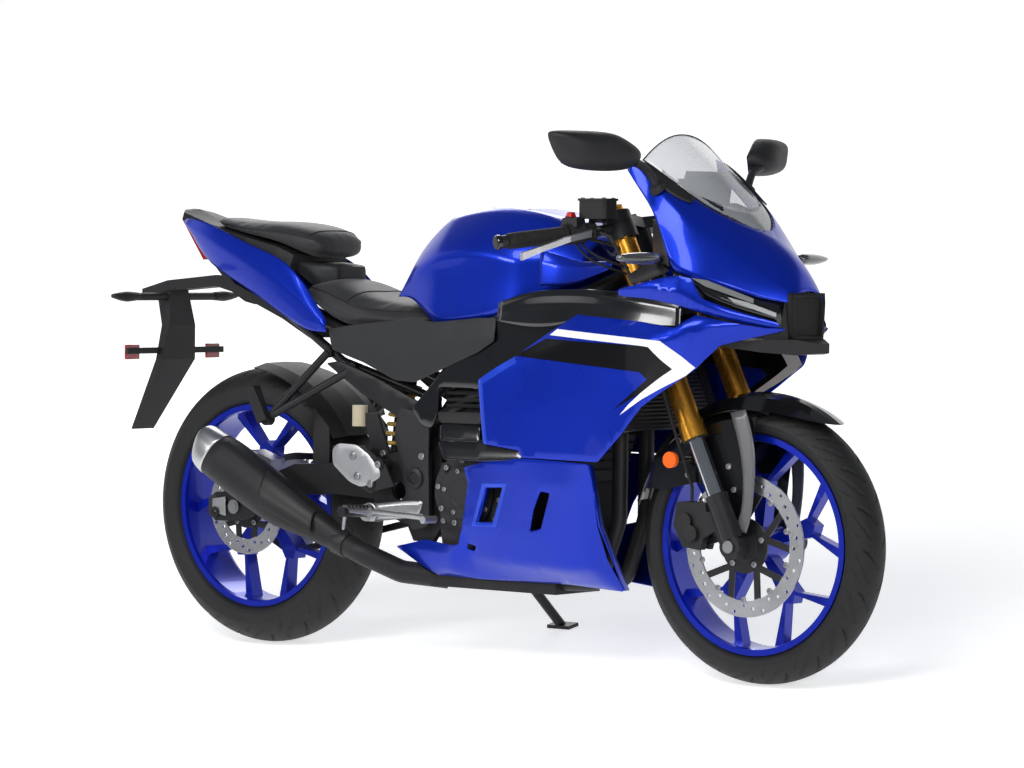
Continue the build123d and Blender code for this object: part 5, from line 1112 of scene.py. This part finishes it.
cover("frame_beam_covers", [(784, 764), (870, 768), (985, 748), (948, 704), (742, 616), (732, 600), (716, 603),
                            (622, 604),
      (618, 545), (600, 512), (570, 520), (545, 556), (640, 640)], 156, "gloss", thick=4, radius=10, lean_out=0.04)
cover("frame_rear_beams", [(272, 646), (310, 652), (406, 622), (560, 560), (560, 540), (509, 520), (379, 580)], 126,
      thick=5)
cover("pivot_covers", [(500, 556), (586, 540), (584, 435), (588, 300), (535, 286), (516, 392), (486, 494)], 141.5,
      "cast",
      thick=2.5, radius=14)
fitting("pivot_caps", [lathe([(20, s * 141), (22, s * 143), (22, s * 146), (16, s * 148), (13, s * 148),
                              (12, s * 145.5)],
                             (548, 402), 32) for s in (-1, 1)], "frame")
for k, (pts, y, mat) in enumerate((
        ([(628, 550), (752, 552), (754, 527), (640, 527)], 168, "plastic"),
        ([(640, 523), (752, 522), (757, 489), (646, 489)], 174, "gloss"),
        ([(642, 486), (700, 488), (765, 495), (884, 482), (878, 456), (768, 449), (664, 449)], 182, "gloss"))):
    cover(f"side_slats_{k}", pts, y, mat, thick=14 if k < 2 else 10, radius=7, lean_out=-0.25)
# the inner slats are near-black: painted shade between the side slats
for k, z in enumerate((590, 575, 562)):
    cover(f"inner_slats_{k}", [(628, z + 4), (742, z + 6), (742, z - 2), (630, z - 3)], 136, "dark", thick=4, radius=2)

# the gap behind them is closed by a dark panel: painted shade where the gap would show through
cover("frame_infills", [(596, 480), (770, 476), (792, 560), (800, 640), (716, 648), (640, 604), (600, 556)], 118,
      "dark", thick=5)

heel = [(336, 458), (352, 472), (406, 471), (440, 452), (475, 417), (475, 402), (448, 386), (420, 378), (387, 388),
        (338, 425)]
cover("heel_plates", heel, 175.6, "alloy", thick=1.4, radius=9, creases=[[(352, 455), (450, 405)]])
heel_bolts = [bolt_head(x, s * 175.8, z, s, 9, 5) for s in (-1, 1) for x, z in ((397, 446), (410, 402))]
fitting("heel_plate_bolts", heel_bolts, "bolt")
for side_name, sign in SIDES:
    arm = [[(572, sign * 141, 352), (560, sign * 141, 318)], [(528, sign * 150, 352), (520, sign * 150, 312)],
           [(480, sign * 158, 346), (476, sign * 158, 306)], [(446, sign * 160, 342), (446, sign * 160, 304)]]
    loft(f"peg_bracket_{side_name}", arm, "alloy", levels=2, thick=9, mirror=False, boundary_sharp=True)
    fitting(f"peg_{side_name}", [
        oriented(lathe([(13, 0), (13.5, 4), (12.4, 8), (12.4, 76), (10, 84), (3, 85)], (0, 0), 24),
                 (440, sign * 170, 325),
                 (-0.02, sign, 0.07)),
        oriented(lathe([(20, -20), (20.5, -18), (20.5, -2), (17, 0)], (0, 0), 32), (440, sign * 172, 324),
                 (0, sign, 0.05)),
        oriented(lathe([(4, 0), (3.4, 30), (2, 33)], (0, 0), 14), (437, sign * 247, 321), (0.02, sign * 0.2, -1))],
        "alloy")

# the coil spring of the shock absorber
coil_low, coil_high = Vector((374, 0, 422)), Vector((412, 0, 684))
coil_dir = (coil_high - coil_low).normalized()
side_dir = coil_dir.cross(Vector((0, 1, 0))).normalized()
TURNS, COIL_STEPS, COIL_RADIUS = 6.0, 24, 27.5
coil = []
for k in range(int(TURNS * COIL_STEPS) + 1):
    a = 2 * math.pi * k / COIL_STEPS
    lift = 37 + 128 * k / (TURNS * COIL_STEPS)
    coil.append(coil_low + coil_dir * lift + Vector((0, 1, 0)) * COIL_RADIUS * math.cos(a)
                + side_dir * COIL_RADIUS * math.sin(a))
wire("shock_coil", coil, 5.0, "chassis", "spring", ["shock_spring"], "spring_yellow")

# ---- mirrors, screen trim and the inner panels ----------------------------------------------------
MIRROR_OUTLINE = [(190, 1104), (219, 1123), (254, 1142), (287, 1147.5), (350, 1148.5), (408, 1148), (416, 1140),
                  (402, 1108),
                  (383, 1077), (346, 1068), (279, 1064), (210, 1069)]
MIRROR_GLASS = [(196, 1106), (222, 1120), (256, 1138), (288, 1143), (402, 1143), (406, 1138), (380, 1080), (344, 1072),
                (279, 1068), (211, 1073)]
MIRROR_TURN = math.radians(22)
MIRROR_X, MIRROR_Y, MIRROR_Z = 1172, 300, 1106  # its middle


def toward_rider(x, y, z):
    """A point of a mirror turned inward about its own middle; y is positive on either side."""
    dx, dy = x - MIRROR_X, y - MIRROR_Y
    c, s = math.cos(MIRROR_TURN), math.sin(MIRROR_TURN)
    return MIRROR_X + dx * c - dy * s, MIRROR_Y + dx * s + dy * c, z


for side_name, sign in SIDES:
    rows = []
    for x, k in ((1147, 0.965), (1147, 1.0), (1166, 0.985), (1186, 0.86), (1198, 0.62), (1202, 0.36)):
        ring = [toward_rider(x, MIRROR_Y + (y - MIRROR_Y) * k, MIRROR_Z + (z - MIRROR_Z) * k) for y,
                z in MIRROR_OUTLINE]
        rows.append([(a, sign * b, c) for a, b, c in ring])
    loft(f"mirror_body_{side_name}", rows, "plastic", row_creases={1: 0.85, 2: 0.25},
         replaces=["mirrors"] if sign > 0 else (), slot="black_plastic", **CLOSED)
    ring = [toward_rider(1145.4 + dx, y, z) for dx in (0.0, 0.8) for y, z in MIRROR_GLASS]
    piece(f"mirror_glass_{side_name}", [(a, sign * b, c) for a, b, c in ring], prism_faces(len(MIRROR_GLASS)), "mirror",
          sharp=30)
    stem = [Vector((1203, sign * 226, 1084)), Vector((1204, sign * 204, 1078)), Vector((1206, sign * 186, 1068)),
            Vector((1210, sign * 172, 1052)), Vector((1213, sign * 160, 1034))]
    wire(f"mirror_stem_{side_name}", stem, 8.5, "chassis", "plastic")
    fitting(f"mirror_foot_{side_name}", [oriented(lathe([(19, -2), (19, 5), (13, 12), (9, 14)], (0, 0), 28),
            (1213, sign * 157, 1030), (-0.25, sign * 0.6, 0.7))], "plastic")

MIRROR_BASE = [[(1158, 151.5, 1093), (1160, 157, 1082)], [(1188, 147, 1078), (1194, 162, 1056)],
               [(1228, 139.5, 1050), (1234, 159, 1028)], [(1262, 131, 1025), (1266, 149, 1009)],
               [(1280, 125, 1012), (1283, 136, 1003)]]
loft("mirror_base_strips", MIRROR_BASE, "plastic", levels=2, thick=3.5, boundary_sharp=True)

BASE = [[(1388, 0, 935.5), (1330, 0, 992)], [(1385, 12, 934.5), (1322, 44, 994)], [(1352, 64, 962), (1304, 84, 1004)],
        [(1310, 101, 989), (1276, 104, 1018)], [(1252, 120, 1030), (1236, 118, 1044)],
        [(1204, 130, 1064), (1200, 127, 1072)]]
loft("screen_base", BASE, "gloss", levels=2, thick=1.2, boundary_sharp=True)
INNER = [[(1246, 171, 962), (1194, 146, 968)], [(1256, 178, 930), (1196, 148, 930)],
         [(1266, 186, 870), (1198, 150, 888)]]
loft("nose_inner_panels", INNER, "grey", levels=1, thick=2.5, boundary_sharp=True)
RECESS = [[(1276, 190, 861), (1284, 196, 848)], [(1318, 180, 854), (1326, 186, 838)],
          [(1348, 160, 842), (1350, 174, 806)],
          [(1394, 120, 824), (1400, 140, 782)], [(1432, 94, 808), (1438, 106, 768)], [(1470, 63, 800), (1470, 76, 752)]]
loft("lamp_recesses", RECESS, "gloss", levels=1, thick=3, boundary_sharp=True)
LAMP_STRIPS = (((1320, 185.5, 847), (1350, 172, 843), (1426, 112, 806), (1426, 113, 796), (1350, 176, 830)),
               ((1384, 146, 809), (1418, 120, 798), (1462, 82, 777), (1462, 83, 768), (1394, 142, 799)))
for k, strip in enumerate(LAMP_STRIPS):
    for side_name, sign in SIDES:
        verts = [(x + d, sign * (y + d), z) for d in (2.5, -9) for x, y, z in strip]
        faces = [tuple(reversed(q)) if sign > 0 else q for q in prism_faces(len(strip))]
        piece(f"lamp_strip_{side_name}_{k}", verts, faces, "lamp", sharp=30)
# the intake's mouth and the screen in it are near-black: painted shade for a pit deeper than the nose allows
INTAKE = [[(x, y, z) for y, z in ((-a, top), (a, top), (b, shelf), (c, foot), (-c, foot), (-b, shelf))]
          for x, a, top, b, shelf, c, foot in ((1476, 60, 818, 62, 796, 56, 720), (1488, 57, 818, 59, 796, 53, 719),
                                               (1488, 50, 811, 52, 794, 46, 727), (1480.6, 48, 808, 50, 793, 44, 730))]
loft("intake_mouth", INTAKE, "dark", levels=0, mirror=False, close=True, thick=0)
piece("intake_screen", [(x, y, z) for x in (1480.8, 1482) for _, y, z in INTAKE[-1]], prism_faces(6), "dark", sharp=30)
LEDGE = [[(1266, 188, 862), (1204, 160, 888)], [(1208, 198, 838), (1166, 176, 860)],
         [(1174, 195, 833), (1154, 184, 850)]]
loft("lamp_ledge_panels", LEDGE, "plastic", levels=1, thick=2.5, boundary_sharp=True)
hose("screen_edge_top", [(1161, -141, 1092), (1161, -80, 1137), (1161, 0, 1158), (1161, 80, 1137), (1161, 141, 1092)],
     1.5,
     "chassis", "plastic", order=4)
for side_name, sign in SIDES:
    hose(f"screen_edge_{side_name}", [(x, sign * y, z) for _, _, (x, y, z) in SCREEN], 1.7, "chassis", "plastic",
         order=4)

# ---- the grey cover under the passenger saddle -----------------------------------------------------
PILLAR = []
for x, w, top, low in ((118, 66, 872, 850), (150, 70, 871, 832), (178, 72, 868, 816), (206, 68, 866, 806),
                       (228, 58, 863, 808), (238, 46, 860, 816)):
    middle = (top + low) / 2
    PILLAR.append([(x, w, top), (x, w + 3, middle), (x, w - 4, low), (x, 4 - w, low), (x, -w - 3, middle),
                   (x, -w, top)])
loft("saddle_pillar", PILLAR, "grey", creases={0: 0.7, 5: 0.7, 2: 0.5, 3: 0.5}, row_creases={-1: 0.6, 0: 0.8}, **CLOSED)

for side_name, sign in SIDES:
    rows = [[(1258, sign * 254, 876), (1292, sign * 254, 879), (1292, sign * 254, 896), (1260, sign * 254, 896)],
            [(1260, sign * 264, 872), (1302, sign * 264, 876), (1301, sign * 264, 900), (1262, sign * 264, 899)],
            [(1256, sign * 320, 868), (1300, sign * 320, 874), (1294, sign * 320, 902), (1258, sign * 320, 900)],
            [(1262, sign * 368, 880), (1284, sign * 368, 882), (1282, sign * 368, 894), (1264, sign * 368, 894)]]
    loft(f"front_indicator_{side_name}", rows, "lens", row_creases={0: 0.8, 1: 0.4, -1: 0.7},
         replaces=["front_indicators"] if sign > 0 else (), slot="lamp_lens", **CLOSED)
    wire(f"front_indicator_stalk_{side_name}", [Vector((1276, sign * 262, 887)), Vector((1262, sign * 238, 886)),
         Vector((1240, sign * 200, 884)), Vector((1226, sign * 170, 882))], 8, "chassis", "plastic")

# the stays are grey: a painted reflection of the lamps on their gloss black faces
STAY = [[(1350, 83, 568), (1388, 83, 576)], [(1377, 87, 505), (1414, 87, 514)], [(1391, 89, 431), (1419, 89, 432)],
        [(1386, 90, 352), (1408, 90, 344)], [(1366, 92, 330), (1398, 92, 320)]]
loft("fender_stays", STAY, "satin", "steering", levels=2, thick=2.6, boundary_sharp=True)


# ---- camera, lights and floor ----------------------------------------------------------------
scene = bpy.context.scene
azimuth, elevation, roll = math.radians(38.72), math.radians(1.822), math.radians(0.524)
sight = Vector((math.sin(azimuth) * math.cos(elevation), -math.cos(azimuth) * math.cos(elevation), math.sin(elevation)))
right = Vector((math.cos(azimuth), math.sin(azimuth), 0))
upward = right.cross(-sight)
cam_x = right * math.cos(roll) + upward * math.sin(roll)
cam_y = upward * math.cos(roll) - right * math.sin(roll)
spot = place(Vector((702.56, 0, 608.77)) + sight * 9151.64)
axes = [turn(cam_x), turn(cam_y), turn(sight)]
camera = add_object("camera", bpy.data.cameras.new("camera"))
camera.data.lens = 147.26
camera.data.clip_end = 60
camera.matrix_world = Matrix([[axes[c][r] for c in range(3)] + [spot[r]] for r in range(3)] + [[0, 0, 0, 1]])
scene.camera = camera
scene.view_settings.view_transform = "Standard"


def area_light(name, where, target, size, power, size_y):
    """A rectangular lamp of so many watts, aimed at the target."""
    data = bpy.data.lights.new(name, "AREA")
    data.shape = "RECTANGLE"
    data.size, data.size_y = size, size_y
    data.energy = power
    lamp = add_object(name, data)
    lamp.location = where
    lamp.rotation_euler = (Vector(target) - Vector(where)).to_track_quat("-Z", "Y").to_euler()


area_light("overhead", (0.3, -2.5, 3.4), (0.1, 0, 0.7), 2.8, 95, 1.4)
area_light("rider_right", (-2.2, -4.4, 2.4), (-0.1, 0, 0.6), 1.6, 55, 0.8)
area_light("front_right", (4.4, -2.8, 2.0), (0.4, 0, 0.6), 2.0, 60, 0.9)
area_light("behind", (-2.6, 3.2, 2.6), (0, 0, 0.7), 2.0, 45, 2.0)

world = bpy.data.worlds.new("studio")
scene.world = world
world.use_nodes = True
sky = world.node_tree
dim = sky.nodes["Background"]
dim.inputs["Color"].default_value = (0.8, 0.88, 1.0, 1)
dim.inputs["Strength"].default_value = 0.16
white = add_node(sky, "Background", (1, 1, 1, 1))
path = add_node(sky, "LightPath")
toward = add_node(sky, "TexCoord").outputs["Generated"]
rise = add_node(sky, "SeparateXYZ", toward)
away = add_node(sky, "VectorMath", toward, (-math.sin(azimuth), math.cos(azimuth), 0),
                setting=[("operation", "DOT_PRODUCT")])


def sky_math(operation, a, b):
    return add_node(sky, "Math", a, b, setting=[("operation", operation), ("use_clamp", True)]).outputs["Value"]


def sky_ramp(value, start, end, low, high):
    return add_node(sky, "MapRange", Value=value, From_Min=start, From_Max=end, To_Min=low,
                    To_Max=high).outputs["Result"]


# camera rays see white; glossy and transmitted ones see a low white band beyond the bike
screen = sky_math("MULTIPLY", sky_ramp(rise.outputs["Z"], 0.36, 0.48, 1, 0),
                  sky_ramp(away.outputs["Value"], 0.1, 0.3, 0, 1))
mirrored_rays = sky_math("ADD", path.outputs["Is Glossy Ray"], path.outputs["Is Transmission Ray"])
seen = sky_math("ADD", sky_math("MULTIPLY", mirrored_rays, screen), path.outputs["Is Camera Ray"])
both = add_node(sky, "MixShader", seen, dim.outputs["Background"], white.outputs["Background"])
sky.links.new(both.outputs["Shader"], sky.nodes["World Output"].inputs["Surface"])

ground = bpy.data.materials.new("studio_floor")
ground.use_nodes = True
tree = ground.node_tree
shader = tree.nodes["Principled BSDF"]
shader.inputs["Base Color"].default_value = (0.8, 0.8, 0.805, 1)
shader.inputs["Roughness"].default_value = 0.9
shader.inputs["Specular IOR Level"].default_value = 0.0
shader.inputs["Emission Color"].default_value = (1, 1, 1, 1)
reach = add_node(tree, "VectorMath", add_node(tree, "TexCoord").outputs["Object"], setting=[("operation", "LENGTH")])
fade = add_node(tree, "MapRange", Value=reach.outputs["Value"], From_Min=1.5, From_Max=3.6, To_Min=0.0, To_Max=0.4)
outer = add_node(tree, "Math", fade.outputs["Result"], add_node(tree, "LightPath").outputs["Is Camera Ray"], 0.62,
                 setting=[("operation", "MULTIPLY_ADD")])
tree.links.new(outer.outputs["Value"], shader.inputs["Emission Strength"])
floor = bpy.data.meshes.new("studio_floor")
floor.from_pydata([(-9, -9, 0), (9, -9, 0), (9, 9, 0), (-9, 9, 0)], [], [(0, 1, 2, 3)])
floor.materials.append(ground)
add_object("studio_floor", floor)

bpy.context.view_layer.update()
